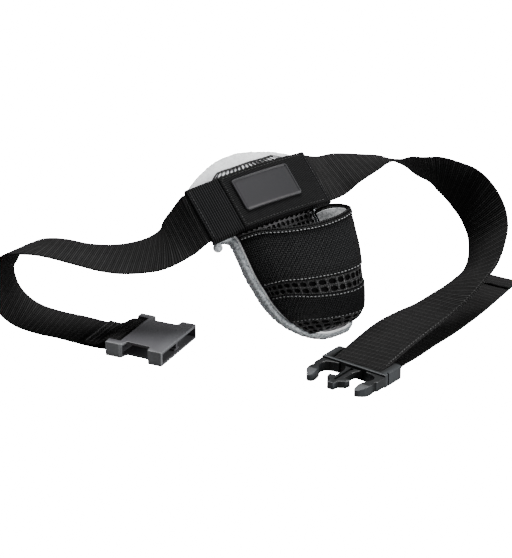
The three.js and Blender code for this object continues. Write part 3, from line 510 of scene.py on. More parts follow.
def pile(name, dark, light, size, depth, roughness=0.95, sheen=0.4, crown_highlight_heights=None):
    """A terry or knit: blotches for colour, and a noise three times finer as bump. Its last argument, a
    pair of heights in metres, turns it near white from the first up to the second: a painted highlight,
    where the light from above falls on the crown."""
    made, tree, shader = started(name)
    place = node(tree, "ShaderNodeTexCoord").outputs["Object"]
    spread = node(tree, "ShaderNodeMapRange", {0: mottled(tree, place, size), 1: 0.35, 2: 0.65}).outputs[0]
    colour = blended(tree, spread, dark, light)
    # Painted highlight: with height the colour turns near white towards the crown, standing in for the
    # light from above.
    if crown_highlight_heights:
        height = node(tree, "ShaderNodeSeparateXYZ", {0: place}).outputs[2]
        share = node(tree, "ShaderNodeMapRange", {0: height, 1: crown_highlight_heights[0], 2: crown_highlight_heights[1]}).outputs[0]
        share = maths(tree, "MULTIPLY", share, maths(tree, "MULTIPLY_ADD", spread, 0.4, 0.6))
        colour = blended(tree, share, colour, HIGHLIGHT_WHITE)
    tree.links.new(colour, shader.inputs["Base Color"])
    bumped(tree, shader, mottled(tree, place, size / 3), depth)
    shader.inputs["Roughness"].default_value = roughness
    shader.inputs["Sheen Weight"].default_value = sheen
    return made


# %% Moulded plastic and rubber
def moulded(name, colour, worn, roughness, grain, depth, gloss):
    """A moulded surface: fine grain as bump, roughness that varies, and edges rubbed paler."""
    made, tree, shader = started(name)
    fine = mottled(tree, node(tree, "ShaderNodeTexCoord").outputs["Object"], grain)
    edge = node(tree, "ShaderNodeNewGeometry").outputs["Pointiness"]
    rubbed = node(tree, "ShaderNodeMapRange", {0: edge, 1: 0.52, 2: 0.6}).outputs[0]
    tree.links.new(blended(tree, rubbed, colour, worn), shader.inputs["Base Color"])
    rough = maths(tree, "MULTIPLY_ADD", fine, 0.2, roughness - 0.1)
    tree.links.new(rough, shader.inputs["Roughness"])
    bumped(tree, shader, fine, depth)
    shader.inputs["Specular IOR Level"].default_value = gloss
    return made


# %% The finishes of this belt
BLACK = (0.0001, 0.0001, 0.0001)
webbing = cloth(
    "Webbing", BLACK, (0.026, 0.0255, 0.0258), RIBS,
    {"Pitch": 0.0018, "Slant": 0.1, "Threads": 0.0019, "Bands": 0.4}, 0.0009, 0.85, gloss=0.05, size=0.012,
)
sleeve_cloth = cloth(
    "Sleeve cloth", BLACK, (0.012, 0.012, 0.0128), RIBS,
    {"Pitch": 0.0021, "Slant": 0.0, "Threads": 0.0022}, 0.0009, 0.8, gloss=0.06,
)
panel_cloth = cloth(
    "Panel cloth", BLACK, (0.0105, 0.0105, 0.011), RIBS,
    {"Pitch": 0.0021, "Slant": 0.8, "Threads": 0.0019}, 0.0007, 0.8, gloss=0.06,
)
pocket_cloth = cloth(
    "Pocket cloth", BLACK, (0.0078, 0.008, 0.0088), WEAVE,
    {"Across": 0.0019, "Along": 0.0019}, 0.0008, 0.55, gloss=0.085,
)
net_cloth = cloth(
    "Net", (0.001, 0.001, 0.001), (0.026, 0.026, 0.027), WEAVE,
    {"Across": 0.0012, "Along": 0.0012}, 0.0004, 0.35, gloss=0.2,
)
# The pad's net is the same knit as the pocket's, made paler: painted light, to offset the shade under the
# sleeve.
pad_net_painted_light_cloth = cloth(
    "Pad net with painted light", (0.06, 0.06, 0.062), (0.2, 0.2, 0.205), WEAVE,
    {"Across": 0.0008, "Along": 0.0008}, 0.0002, 0.5,
)
tape_cloth = cloth(
    "Rim tape", (0.0002, 0.0002, 0.0002), (0.0035, 0.0035, 0.0038), RIBS,
    {"Pitch": 0.0014, "Slant": 0.0, "Threads": 0.0014}, 0.0004, 0.5, gloss=0.08,
)
# A near-black sheet: painted shade inside the pocket, behind its nets.
shade_sheet_cloth = cloth(
    "Painted shade sheet", BLACK, (0.002, 0.002, 0.0022), WEAVE,
    {"Across": 0.001, "Along": 0.001}, 0.0003, 0.6, gloss=0.04,
)
# The terry is painted near white from 0.1 m up to 0.122 m high: a painted highlight on the crown.
terry = pile(
    "Pale terry", (0.14, 0.165, 0.18), (0.72, 0.76, 0.79), 0.0018, 0.0014, sheen=0.3, crown_highlight_heights=(0.1, 0.122),
)
piping_finish = pile("Pale piping", (0.75, 0.77, 0.78), (0.95, 0.96, 0.97), 0.002, 0.0002, sheen=0.4)
lining_cloth = pile("Lining", (0.16, 0.17, 0.175), (0.6, 0.61, 0.62), 0.006, 0.0003, sheen=0.1)
foam_cover = pile("Foam cover", (0.004, 0.004, 0.0045), (0.014, 0.014, 0.015), 0.002, 0.0003, sheen=0.02)
thread_finish = pile("Pale thread", (0.16, 0.165, 0.17), (0.34, 0.345, 0.35), 0.004, 0.0001, sheen=0.0)
selvedge_finish = pile("Selvedge thread", (0.03, 0.03, 0.03), (0.09, 0.09, 0.09), 0.004, 0.0001, sheen=0.0)
dark_thread = pile("Dark thread", (0.01, 0.01, 0.01), (0.035, 0.035, 0.036), 0.004, 0.0001, sheen=0.0)
label_finish = moulded(
    "Label rubber", (0.0115, 0.0112, 0.013), (0.06, 0.06, 0.065), 0.5, 0.0006, 0.00006, 0.2,
)
plastic = moulded(
    "Buckle plastic", (0.05, 0.0492, 0.054), (0.16, 0.166, 0.172), 0.42, 0.0009, 0.00004, 0.3,
)
plug_plastic = moulded(
    "Plug plastic", (0.005, 0.0056, 0.006), (0.03, 0.033, 0.036), 0.42, 0.0009, 0.00004, 0.22,
)
print(len(bpy.data.materials), "materials")

# %% [markdown]
# ## The two halves of the buckle
# The socket and the plug are hard, so the frame's own solids stay, with a satin moulded finish. The
# plug's is darker, as the photo shows it.

# %% Buckle finish
for name, finish in (("buckle_socket", plastic), ("buckle_plug", plug_plastic)):
    half_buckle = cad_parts[name]
    half_buckle.data.materials.clear()
    half_buckle.data.materials.append(finish)
    print(name, "finished")

# %% [markdown]
# ## The webbing
# The strap is one flat band of 50 mm webbing. It could be a curve with a flat bevel, but a curve twists
# as it likes. Here each station of the route has its own direction across the band, so the strap leans
# and turns over just where the real one does, and both ends are doubled as they are sewn.

# %% Stations of the strap
# Each row: shares of the reach, the depth and the rise, then the heading and the lean in degrees
LEFT_REACH, RIGHT_REACH, LOOP_DEPTH, LOOP_RISE = 230, 210, 200, 125
LEFT_ROWS = [
    (0.283, 0.395, 0.755, 23, -36), (0.338, 0.39, 0.663, 12, -22), (0.405, 0.4, 0.598, 5, -14),
    (0.495, 0.41, 0.56, 0, -9), (0.582, 0.42, 0.557, -3, -4), (0.663, 0.43, 0.577, -8, 1),
    (0.743, 0.44, 0.608, -10, 3), (0.82, 0.455, 0.62, -10, 6), (0.88, 0.488, 0.592, -10, 11),
    (0.938, 0.512, 0.535, -12, 18), (0.988, 0.533, 0.37, -24, 21), (0.978, 0.54, 0.225, -27, 12),
    (0.942, 0.535, 0.115, -26, 5), (0.889, 0.52, 0.045, -25, 1), (0.806, 0.48, 0.016, -25, 0),
    (0.714, 0.435, 0.01, -26, 0),
]
RIGHT_ROWS = [
    (0.325, 0.8, 0.948, 33, -24), (0.387, 0.84, 0.974, 30, -12), (0.45, 0.875, 0.984, 24, -1),
    (0.511, 0.9, 0.99, 19, 9), (0.572, 0.91, 0.994, 16, 17), (0.632, 0.91, 0.975, 17, 21),
    (0.702, 0.89, 0.945, 32, 25), (0.789, 0.86, 0.915, 43, 30), (0.876, 0.825, 0.846, 52, 33),
    (0.937, 0.775, 0.767, 56, 35), (0.975, 0.725, 0.668, 55, 33), (0.989, 0.675, 0.574, 49, 31),
    (0.98, 0.61, 0.498, 42, 30), (0.952, 0.54, 0.414, 37, 27), (0.901, 0.475, 0.355, 36, 22),
    (0.835, 0.41, 0.292, 37, 16), (0.753, 0.35, 0.223, 40, 10), (0.675, 0.28, 0.192, 44, 4),
    (0.593, 0.195, 0.165, 49, 0), (0.516, 0.1, 0.13, 52, 0),
]
TAIL_ROWS = [
    (0.513, 0.1, 0.03, 50, 0), (0.576, 0.2, 0.018, 47, 0), (0.648, 0.315, 0.01, 50, 0),
    (0.724, 0.42, 0.01, 54, 0), (0.805, 0.545, 0.01, 57, 0), (0.881, 0.67, 0.012, 58, 0),
    (0.96, 0.81, 0.018, 58, 0), (1.04, 0.95, 0.026, 58, 0),
]
BUCKLE_HEIGHT = 13.4
BAR_RADIUS = 3
DOUBLED_END = 26
HEM_LENGTH = 17
print("places on the left, the right and the tail:", len(LEFT_ROWS), len(RIGHT_ROWS), len(TAIL_ROWS))


def table_stations(rows, reach, mirror=1):
    """Point and side of each row: shares of the reach, depth and rise, then heading and lean."""
    out, back, up, yaw, lean = np.array(rows, float).T
    point = np.stack([mirror * out * reach, back * LOOP_DEPTH, up * LOOP_RISE], 1) + ROW_SHIFT
    yaw, lean = np.radians(yaw), np.radians(lean)
    side = np.stack([np.sin(yaw) * np.cos(lean), -np.cos(yaw) * np.cos(lean), np.sin(lean)], 1)
    return np.hstack([point, side])


def buckle_stations(turn, at, facing, places):
    """Stations at places (x, z) in a buckle's own frame, whose bar lies along its y."""
    matrix = turning(0, 0, turn)
    point = np.array([(x, 0, z) for x, z in places]) @ matrix.T + at
    side = np.tile(matrix @ np.array([0, facing, 0]), (len(places), 1))
    return np.hstack([point, side])


def sleeve_stations(across):
    """Stations in the sleeve, on the middle of the strap."""
    point = on_strap(np.asarray(across, float), 0.0, (STRAP_LOW + STRAP_HIGH) / 2)
    side = np.tile(PAD_MATRIX @ np.array([0, -1, 0]), (len(point), 1))
    return np.hstack([point, side])


# %% The route from the doubled end to the hem
rest = STRAP_THICK / 2
wrap = BAR_RADIUS + GAP + rest
socket_bar = BUCKLE_HEIGHT / 2
plug_bar = BUCKLE_HEIGHT / 2 - 0.8
second = rest + STRAP_THICK + GAP
in_sleeve = SLEEVE_LENGTH / 2 + 3
turn_angles = np.linspace(np.pi / 2, -np.pi / 2, 9)[1:-1]


def round_bar(turn, at, facing, height):
    """Stations on a half circle over a bar, from above it to below it."""
    places = [(wrap * np.cos(a), height + wrap * np.sin(a)) for a in turn_angles]
    return buckle_stations(turn, at, facing, places)


def socket_stations(places):
    """Stations in the socket's frame."""
    return buckle_stations(SOCKET_TURN, SOCKET_AT, -1, places)


def plug_stations(places):
    """Stations in the plug's frame."""
    return buckle_stations(PLUG_TURN, PLUG_AT, 1, places)


doubled = route(
    socket_stations([
        (-DOUBLED_END - 6, second), (-DOUBLED_END + 6, second),
        (-8, socket_bar + 0.8 * wrap), (0, socket_bar + wrap),
    ]), 6,
)
left_low = rest + 0.6 * (socket_bar - wrap - rest)
left_arm = route(
    np.vstack([
        socket_stations([(0, socket_bar - wrap), (-8, left_low), (-DOUBLED_END + 4, rest)]),
        table_stations(LEFT_ROWS, LEFT_REACH, -1)[::-1],
        sleeve_stations([-in_sleeve]),
    ]), 8,
)
right_arm = route(
    np.vstack([
        sleeve_stations([in_sleeve]),
        table_stations(RIGHT_ROWS, RIGHT_REACH),
        plug_stations([(-8, plug_bar + wrap + 1.4), (0, plug_bar + wrap)]),
    ]), 8,
)
tail = route(
    np.vstack([
        plug_stations([(0, plug_bar - wrap), (-8, plug_bar - wrap)]),
        table_stations(TAIL_ROWS, RIGHT_REACH),
    ]), 6,
)
end_point, end_side = tail[-1, :3], tail[-1, 3:]
onward = unit(tail[-1, :3] - tail[-2, :3])
upward = unit(np.cross(end_side, onward))
half_turn = (STRAP_THICK + GAP) / 2
fold = np.linspace(-np.pi / 2, np.pi / 2, 7)[1:, None]
fold_points = end_point + upward * half_turn * (1 + np.sin(fold)) + onward * half_turn * np.cos(fold)
back_points = fold_points[-1] - onward * np.linspace(0, HEM_LENGTH, 6)[1:, None]
hem_points = np.vstack([fold_points, back_points])
hem = np.hstack([hem_points, np.tile(end_side, (len(hem_points), 1))])
stations = np.vstack([
    doubled,
    round_bar(SOCKET_TURN, SOCKET_AT, -1, socket_bar),
    left_arm,
    sleeve_stations(np.linspace(-in_sleeve, in_sleeve, 25)[1:-1]),
    right_arm,
    round_bar(PLUG_TURN, PLUG_AT, 1, plug_bar),
    tail,
    hem,
])
strap_length = measured(stations[:, :3])[-1]
print("strap", round(strap_length), "mm long,", len(stations), "stations")

# %% [markdown]
# ## The strap's surface
# A woven strap is thin and flat, with a tight selvedge at both edges. Its section is carried along the
# stations, and a shallow groove inside each selvedge lets the light draw that edge.

# %% The strap as a surface
SELVEDGE_IN, GROOVE_DEPTH, GROOVE_WIDTH = 2.6, 0.22, 0.7


def strap_frame(line):
    """Across and out of the band at each station, at right angles to the route."""
    forward = unit(np.gradient(line[:, :3], axis=0))
    across = line[:, 3:] - forward * np.sum(line[:, 3:] * forward, 1, keepdims=True)
    across = unit(across)
    return across, np.cross(across, forward)


def strap_surface():
    """A section with half round edges and a shallow groove inside each selvedge, carried along."""
    across, out = strap_frame(stations)
    section = cloth_section(-STRAP_WIDTH / 2, STRAP_WIDTH / 2, STRAP_THICK * 0.9, 34)
    x, z = section.T
    from_groove = (STRAP_WIDTH / 2 - SELVEDGE_IN - np.abs(x)) / GROOVE_WIDTH
    groove = GROOVE_DEPTH * np.exp(-(from_groove**2))
    z = z - np.sign(z) * groove
    points = stations[:, None, :3] + across[:, None] * x[:, None] + out[:, None] * z[:, None]
    along = measured(stations[:, :3])
    return points, paired(x[None, :], along[:, None])


strap_points, strap_places = strap_surface()
strap = put_skin("webbing_strap", strap_points, webbing, strap_places)
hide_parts("belt_strap")

# %% [markdown]
# ## The sleeve
# The sleeve is a band of heavy cloth over the strap. Its long edges turn down to the pad, and each end
# has a doubled hem. It could be a bent box with a Bevel, but the hems need rows of their own, so a
# half section is carried across the pad and raised where the cloth is double.

# %% Sleeve
HEM_WIDTH = 5
HEM_RISE = 1.2
RIDGE_RISE, RIDGE_IN, CROWN_RISE = 0.35, 2.4, 0.25
SLEEVE_END = SLEEVE_LENGTH / 2
sleeve_sink = bent(0.0, SLEEVE_DROP - STRAP_WIDTH / 2 - 1, 0.0)[2]


def sleeve_half_section(half, low, high, radius, count):
    """Up one side, round a corner, over the top, round the other corner and down again."""
    angle = np.radians(np.linspace(0, 90, 5))
    left = np.stack([-half + radius * (1 - np.cos(angle)), high - radius * (1 - np.sin(angle))], 1)
    top = np.stack([np.linspace(-half + radius, half - radius, count)[1:-1], np.full(count - 2, high)], 1)
    foot = np.array([[-half, low]])
    return np.vstack([foot, left, top, (left * [-1, 1])[::-1], foot * [-1, 1]])


def sleeve_surface():
    """The section carried across the pad. It rises at both hems and bulges a little between edges."""
    low = STRAP_LOW + sleeve_sink
    outer = sleeve_half_section(SLEEVE_HALF, low, SLEEVE_HIGH, 2.2, 24)
    inner = sleeve_half_section(STRAP_WIDTH / 2 + 1, low, SLEEVE_LOW, 0.6, 24)
    near_hem = HEM_WIDTH + np.array([-0.6, -0.2, 0.2, 0.8])
    near_end = np.r_[0, 0.15, 0.5, 1.2, near_hem]
    inside = np.linspace(-SLEEVE_END + 7, SLEEVE_END - 7, 60)
    places = np.r_[-SLEEVE_END + near_end, inside, (SLEEVE_END - near_end)[::-1]]
    from_end = SLEEVE_END - np.abs(places)
    edge = np.clip(1 - (1 - np.minimum(from_end / 0.9, 1)) ** 2, 0.35, 1)
    hem = HEM_RISE * np.clip((HEM_WIDTH + 0.4 - from_end) / 0.9, 0, 1)
    ridge = RIDGE_RISE * np.exp(-(((from_end - HEM_WIDTH - RIDGE_IN) / 0.7) ** 2))
    x = places[:, None]
    crown = CROWN_RISE * np.cos(np.pi * outer[:, 0] / SLEEVE_HALF / 2)
    top = outer[:, 1] > SLEEVE_LOW - 1
    lift = (hem + ridge)[:, None] * top + crown * top
    thin = (1 - edge)[:, None] * (outer[:, 1] - inner[:, 1]) * top * 0.8
    over = on_strap(x, outer[None, :, 0], outer[None, :, 1] + lift - thin)
    under = on_strap(x, inner[None, :, 0], inner[None, :, 1])
    points = np.concatenate([over, under[:, ::-1]], 1)
    spans = np.r_[outer[:, 0], inner[::-1, 0]]
    return points, paired(spans[None, :], x)


sleeve_points, sleeve_places = sleeve_surface()
sleeve = put_skin("sleeve_band", sleeve_points, sleeve_cloth, sleeve_places)
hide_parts("sleeve")

# %% [markdown]
# ## The panel on the sleeve
# A finer cloth is sewn on the sleeve as a ground for the label. It is one flat strip that follows the
# strap's face, so it needs no cloth simulation, only thin ends.

# %% Panel on the sleeve
def flat_strip(name, place, low, high, along, thick, height, finish, columns=30):
    """A thin cloth with half round edges from low to high across, over place(across, along, height)."""
    section = cloth_section(low, high, thick, columns)
    end = np.minimum(np.arange(len(along)), np.arange(len(along))[::-1])
    thin = np.where(end == 0, 0.45, np.where(end == 1, 0.85, 1.0))[:, None]
    x, z = section.T
    points = place(x[None, :] + 0 * thin, along[:, None] + 0 * x[None, :], height + z[None, :] * thin)
    return put_skin(name, points, finish, paired(x[None, :], along[:, None]))


def with_ends(low, high, count, edge=0.4):
    """Even places from low to high, with one more close to each end."""
    inner = np.linspace(low + edge, high - edge, count)
    return np.r_[low, inner, high]


PANEL_END = SLEEVE_END - HEM_WIDTH - GAP
PANEL_LENGTH, PANEL_WIDTH, PANEL_INSET = 84, 54, 0.9


def across_sleeve(up, across, height):
    """The strap's face with its two places swapped, for strips that run across the pad."""
    return on_strap(across, up, height)


panel = flat_strip(
    "sleeve_panel_cloth", across_sleeve, -SLEEVE_HALF + PANEL_INSET, SLEEVE_HALF - PANEL_INSET,
    with_ends(PANEL_END - PANEL_LENGTH, PANEL_END, 44), 1.0,
    (PANEL_LOW + PANEL_HIGH) / 2, panel_cloth,
)
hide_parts("sleeve_panel")

# %% [markdown]
# ## The label
# The label is a moulded rubber patch with a raised rim, left bare here. A bevelled box would give the
# rim too, but its large flat face shades unevenly once it is bent, so the label is a fine grid.

# %% Label with its raised rim
LABEL_LENGTH, LABEL_WIDTH, LABEL_CORNER, LABEL_THICK = 56, 32, 2.5, 1.8
LABEL_RIM, LABEL_DEPTH = 1.5, 0.8
LABEL_SHIFT, LABEL_RAISE = 7.5, 3.2


def close_to_edges(half, edge_steps, count):
    """Places from -half to half, close together at both ends."""
    steps = np.array(edge_steps)
    middle = np.linspace(-half + steps[-1], half - steps[-1], count)[1:-1]
    return np.r_[-half + steps, middle, (half - steps)[::-1]]


def label_surface():
    """A grid pulled in to a rounded rectangle. Its height follows the distance from the edge: up a
    steep bevel, along the rim and down into the recess. The underside is flat."""
    near = [0, 0.1, 0.35, 0.7, LABEL_RIM - 0.35, LABEL_RIM, LABEL_RIM + 0.35, 3]
    x = close_to_edges(LABEL_LENGTH / 2, near, 24)[None, :]
    y = close_to_edges(LABEL_WIDTH / 2, near, 14)[:, None]
    x, y = np.broadcast_arrays(x, y)
    over_x = np.maximum(np.abs(x) - LABEL_LENGTH / 2 + LABEL_CORNER, 0)
    over_y = np.maximum(np.abs(y) - LABEL_WIDTH / 2 + LABEL_CORNER, 0)
    reach = np.hypot(over_x, over_y)
    pull = np.where(reach > LABEL_CORNER, LABEL_CORNER / np.maximum(reach, 1e-9), 1)
    x = x - np.sign(x) * over_x * (1 - pull)
    y = y - np.sign(y) * over_y * (1 - pull)
    inside = np.minimum(LABEL_LENGTH / 2 - np.abs(x), LABEL_WIDTH / 2 - np.abs(y))
    inside = np.where((over_x > 0) & (over_y > 0), LABEL_CORNER - np.minimum(reach, LABEL_CORNER), inside)
    floor_height = LABEL_THICK - LABEL_DEPTH
    steps = [0, 0.1, 0.35, LABEL_RIM - 0.3, LABEL_RIM + 0.1, LABEL_RIM + 0.4, 30]
    rim_heights = [0.3, LABEL_THICK - 0.3, LABEL_THICK, LABEL_THICK]
    heights = [*rim_heights, floor_height + 0.1, floor_height, floor_height]
    top = np.stack([x, y, np.interp(inside, steps, heights)], -1)
    bottom = np.stack([x, y, 0 * x], -1)
    return np.concatenate([top, bottom[:, ::-1]], 1)


label_grid = label_surface()
label_points = on_strap(
    label_grid[..., 0] + LABEL_SHIFT, label_grid[..., 1] + LABEL_RAISE, LABEL_LOW + label_grid[..., 2],
)
label = put_skin("label_plate", label_points, label_finish, label_grid[..., :2])
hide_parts("label_patch")

# %% [markdown]
# ## The pocket
# The pocket is a bowed wall that stands out of the pad and swings to the right. Two tables give its
# section and how that section changes from the rim down to the seam. Its four bands, woven, net, woven
# and net, are parts of one surface, which is why they meet without steps.

# %% The pocket's surface
# SECTION: place across, swing, standing out and sag, from the left seam to the right one.
# LEVELS: place down, standing out, sag and swing, from the rim to the seam at the foot.
POCKET_OUT, POCKET_DROP, POCKET_LENGTH, POCKET_WALL = 33, 2, 105, 1.8
POCKET_FOOT = NET_HIGH + 2 * GAP + 1 + 1.5
BINDING_LAP = 6.2
BAND_TOP, BAND_FOOT, LOWER_FOOT, POCKET_SEAM = 0.45, 0.55, 0.81, 0.955
SECTION = [
    (0, 0, 0, 0), (0.05, 0, 0.14, 0.05), (0.2, 0, 0.43, 0.25), (0.42, 0.01, 0.7, 0.7),
    (0.7, 0.03, 0.9, 1), (0.88, 0.1, 1, 1), (0.97, 0.18, 0.95, 0.8), (1, 0.19, 0.82, 0.55),
    (1, 0.13, 0.6, 0.25), (1, 0.05, 0.32, 0.05), (1, 0, 0, 0),
]
LEVELS = [
    (0, 1, 0.157, 1), (0.05, 1, 0.157, 0.97), (0.25, 1.02, 0.13, 0.64), (0.45, 1.02, 0.105, 0.27),
    (0.55, 0.93, 0.13, 0.17), (0.68, 0.82, 0.1, 0.12), (0.81, 0.66, 0.06, 0.03),
    (0.9, 0.4, 0.03, 0), (0.955, 0.06, 0.01, 0),
]
section_table = smooth_table([(i / (len(SECTION) - 1), *row) for i, row in enumerate(SECTION)])
level_table = smooth_table(LEVELS)


def pocket_skin(t, down):
    """The pocket's middle surface: width between the pad's edges, depth and sag by the two tables."""
    t, down = np.broadcast_arrays(np.asarray(t, float), np.asarray(down, float))
    out, sag, swing = np.moveaxis(level_table(down), -1, 0)
    across, swing_here, out_here, sag_here = np.moveaxis(section_table(t), -1, 0)
    mouth = SLEEVE_DROP - SLEEVE_HALF - POCKET_DROP
    up = mouth - POCKET_LENGTH * (down + sag * sag_here)
    along = np.maximum((mouth - POCKET_LENGTH * down) / PAD_BELOW, -POCKET_SEAM)
    left, right = (pad_side(along, s, False)[..., 0] - s * (BINDING_LAP + 2 * GAP) for s in (-1, 1))
    x = left + (right - left) * (across + swing_here * swing)
    return bent(x, up, POCKET_FOOT + POCKET_OUT * out * out_here)


def on_pocket(t, down, height):
    """A point over the pocket's surface, along its normal."""
    t, down, height = np.broadcast_arrays(*(np.asarray(x, float) for x in (t, down, height)))
    step = 0.01
    over = pocket_skin(np.minimum(t + step, 1), down) - pocket_skin(np.maximum(t - step, 0), down)
    lower = pocket_skin(t, down + step) - pocket_skin(t, down - step)
    normal = unit(np.cross(lower, over))
    return placed(pocket_skin(t, down) + normal * height[..., None])


def round_level(level):
    """Length along the pocket from its left seam, at 200 even places of one level."""
    return measured(on_pocket(np.linspace(0, 1, 200), level, 0.0))


rim_along = round_level(0.0)
POCKET_ROUND = rim_along[-1]


def cloth_places(t, down):
    """Place on the flat cloth: length round the pocket, as it is at the rim, and length down it."""
    across = np.interp(t, np.linspace(0, 1, len(rim_along)), rim_along)
    return paired(across[None, :], down[:, None] * POCKET_LENGTH)


print("round the rim", round(POCKET_ROUND), "mm")

# %% [markdown]
# ## The woven panels
# Two panels of heavy cloth are sewn to the net between them, and the thread pulls small puckers beside
# each seam. A cloth simulation would find these by itself, but slowly. Here they are short waves that
# fade away from the seam, with a broad one over all, so the pocket keeps the shape it has in the photo.

# %% Woven panels of the pocket
SEAMS = np.array([0.0, BAND_TOP, BAND_FOOT, LOWER_FOOT])
PUCKER_REACH, PUCKER_LENGTH, PUCKER_HEIGHT = 4, 7.3, 0.16


def pucker(t, down):
    """Small waves of the cloth beside each seam, which fade within a few millimetres, plus one broad
    wave over the whole. Both are nothing at the two side seams."""
    from_seam = np.min(np.abs(down[..., None] - SEAMS), -1) * POCKET_LENGTH
    near = np.exp(-((from_seam / PUCKER_REACH) ** 2))
    turns = t * POCKET_ROUND
    wave = np.sin(turns * 2 * np.pi / PUCKER_LENGTH + 9 * down) + 0.5 * np.sin(turns * 0.47)
    broad = 0.5 * np.sin(5.1 * t + 11 * down) * np.sin(np.pi * t)
    return PUCKER_HEIGHT * wave * near * np.sin(np.pi * t) + broad


def pocket_panel(name, top, foot, rows):
    """One band of woven cloth with half round edges, from one seam to the other round the pocket."""
    section = cloth_section(0.004, 0.996, 0.012, 90, 3)
    t = section[:, 0]
    side = np.sign(section[:, 1]) * POCKET_WALL / 2 * np.minimum(np.abs(section[:, 1]) / 0.006, 1)
    down = with_ends(top, foot, rows, 0.5 / POCKET_LENGTH)
    end = np.minimum(np.arange(len(down)), np.arange(len(down))[::-1])
    thin = np.where(end == 0, 0.45, 1.0)[:, None]
    wave = pucker(t[None, :] + 0 * thin, down[:, None] + 0 * t[None, :])
    points = on_pocket(t[None, :], down[:, None], side[None, :] * thin + wave)
    return put_skin(name, points, pocket_cloth, cloth_places(t, down))


def laid_out(top, foot, widest=None):
    """Flat size in metres of the cloth between two levels, as wide as it is at the first of them."""
    level = top if widest is None else widest
    return round_level(level)[-1] * MM, (foot - top) * POCKET_LENGTH * MM


upper = pocket_panel("pocket_upper_cloth", 0.002, BAND_TOP, 26)
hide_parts("pocket_upper_panel")
laid_out(0.0, BAND_TOP)
lower = pocket_panel("pocket_lower_cloth", BAND_FOOT, LOWER_FOOT, 18)
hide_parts("pocket_lower_panel")
laid_out(BAND_FOOT, LOWER_FOOT)

# %% [markdown]
# ## Net
# The net is an open knit of thick strands. Holes drawn with transparency would look flat from the side,
# so the cells are really left out of a grid, the rest is given its thickness, and one level of
# subdivision rounds the strands.

# %% Net maker
NET_THICK = 0.5


def bars(low, high, cells, width):
    """Grid lines with a narrow bar between cells and at both ends."""
    pitch = (high - low) / cells
    middle = low + pitch * np.arange(1, cells)
    lines = np.sort(np.r_[middle - width / 2, middle + width / 2])
    return np.r_[low, low + width, lines, high - width, high]


def net_piece(name, place, u, v, hole, finish, to_cloth):
    """A grid over place(u, v) without the faces where hole is true, thickened and rounded. It gives
    the piece and the area of its strands, half the product of each face's diagonals."""
    points = place(*np.broadcast_arrays(u[None, :], v[:, None]))
    columns = len(u)
    j, i = np.nonzero(~hole)
    first = j * columns + i
    faces = np.stack([first, first + 1, first + columns + 1, first + columns], -1)
    used, compact = np.unique(faces, return_inverse=True)
    faces = compact.reshape(faces.shape)
    on_cloth = paired(u[None, :] * to_cloth[0], v[:, None] * to_cloth[1]).reshape(-1, 2)[used]
    points = points.reshape(-1, 3)[used]
    piece = put_piece(name, points, faces, finish, on_cloth, closed=False)
    corner = points[faces]
    twice = np.linalg.norm(np.cross(corner[:, 2] - corner[:, 0], corner[:, 3] - corner[:, 1]), axis=1)
    wall = piece.modifiers.new("Strand thickness", "SOLIDIFY")
    wall.thickness = NET_THICK * MM
    wall.offset = 0
    rounded = piece.modifiers.new("Round strands", "SUBSURF")
    rounded.levels = rounded.render_levels = 1
    return piece, twice.sum() / 2 * MM**2


def odd_holes(u, v):
    """True for each cell between bars both ways."""
    return (np.arange(len(v) - 1) % 2 == 1)[:, None] & (np.arange(len(u) - 1) % 2 == 1)[None, :]


print("cells of a net two by two", int(odd_holes(bars(0, 9, 2, 1), bars(0, 9, 2, 1)).sum()))

# %% Net of the pocket
def pocket_net(name, top, foot, columns, rows, strand):
    """A run of net between two seams of the pocket. Strand is its width where the pocket is widest."""
    u = bars(0.004, 0.996, columns, strand / POCKET_ROUND)
    v = bars(top, foot, rows, 1.0 / POCKET_LENGTH)
    return net_piece(
        name, lambda t, d: on_pocket(t, d, 0.0), u, v, odd_holes(u, v), net_cloth,
        (POCKET_ROUND, POCKET_LENGTH),
    )


net_band, band_area = pocket_net("pocket_net_band_knit", BAND_TOP + 0.002, BAND_FOOT - 0.002, 28, 2, 1.0)
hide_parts("pocket_net_band")
band_flat = laid_out(BAND_TOP, BAND_FOOT)
net_foot, foot_area = pocket_net("pocket_net_foot_knit", LOWER_FOOT + 0.002, POCKET_SEAM, 16, 3, 2.2)
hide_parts("pocket_net_foot")
foot_flat = laid_out(LOWER_FOOT, POCKET_SEAM)
print("strands", round((band_area + foot_area) * 1e6), "square mm")

# %% [markdown]
# ## A dark sheet behind the net
# Nothing pale shows through the pocket's cells, as the pocket's inside lies in shade. That shade is
# painted: one thin dark closed sheet lies just inside the nets. Its own holes are too small to see from
# here, so it is one thin closed sheet.

# %% Dark sheet of painted shade
SHADE_SHEET_LAP, SHADE_SHEET_HALF, SHADE_SHEET_BEHIND = 0.02, 0.25, 1.1


def dark_shade_sheet():
    """A thin dark sheet just inside both runs of net, so that nothing pale shows through the cells:
    painted shade for the inside of the pocket.
    """
    section = cloth_section(0.006, 0.994, 0.006, 90, 3)
    t = section[:, 0]
    side = np.sign(section[:, 1]) * SHADE_SHEET_HALF
    down = with_ends(BAND_TOP - SHADE_SHEET_LAP, POCKET_SEAM, 30, 0.004)
    points = on_pocket(t[None, :], down[:, None], side[None, :] - SHADE_SHEET_BEHIND)
    return put_skin("pocket_painted_shade_sheet", points, shade_sheet_cloth, cloth_places(t, down))


# A dark sheet of painted shade inside the pocket.
shade_sheet_piece = dark_shade_sheet()
shade_sheet_flat = laid_out(BAND_TOP - SHADE_SHEET_LAP, POCKET_SEAM, widest=BAND_TOP)

# %% [markdown]
# ## The net on the pad
# The same knit covers the pad's front. It shows in the pocket's mouth, and above the sleeve a row of
# slanted strands lies over the terry. Where the sleeve and the binding hide it, its grid has no cells.
# On the pad's front its strands are given a paler colour than the pocket's net: painted light, to offset
# the shade under the sleeve.

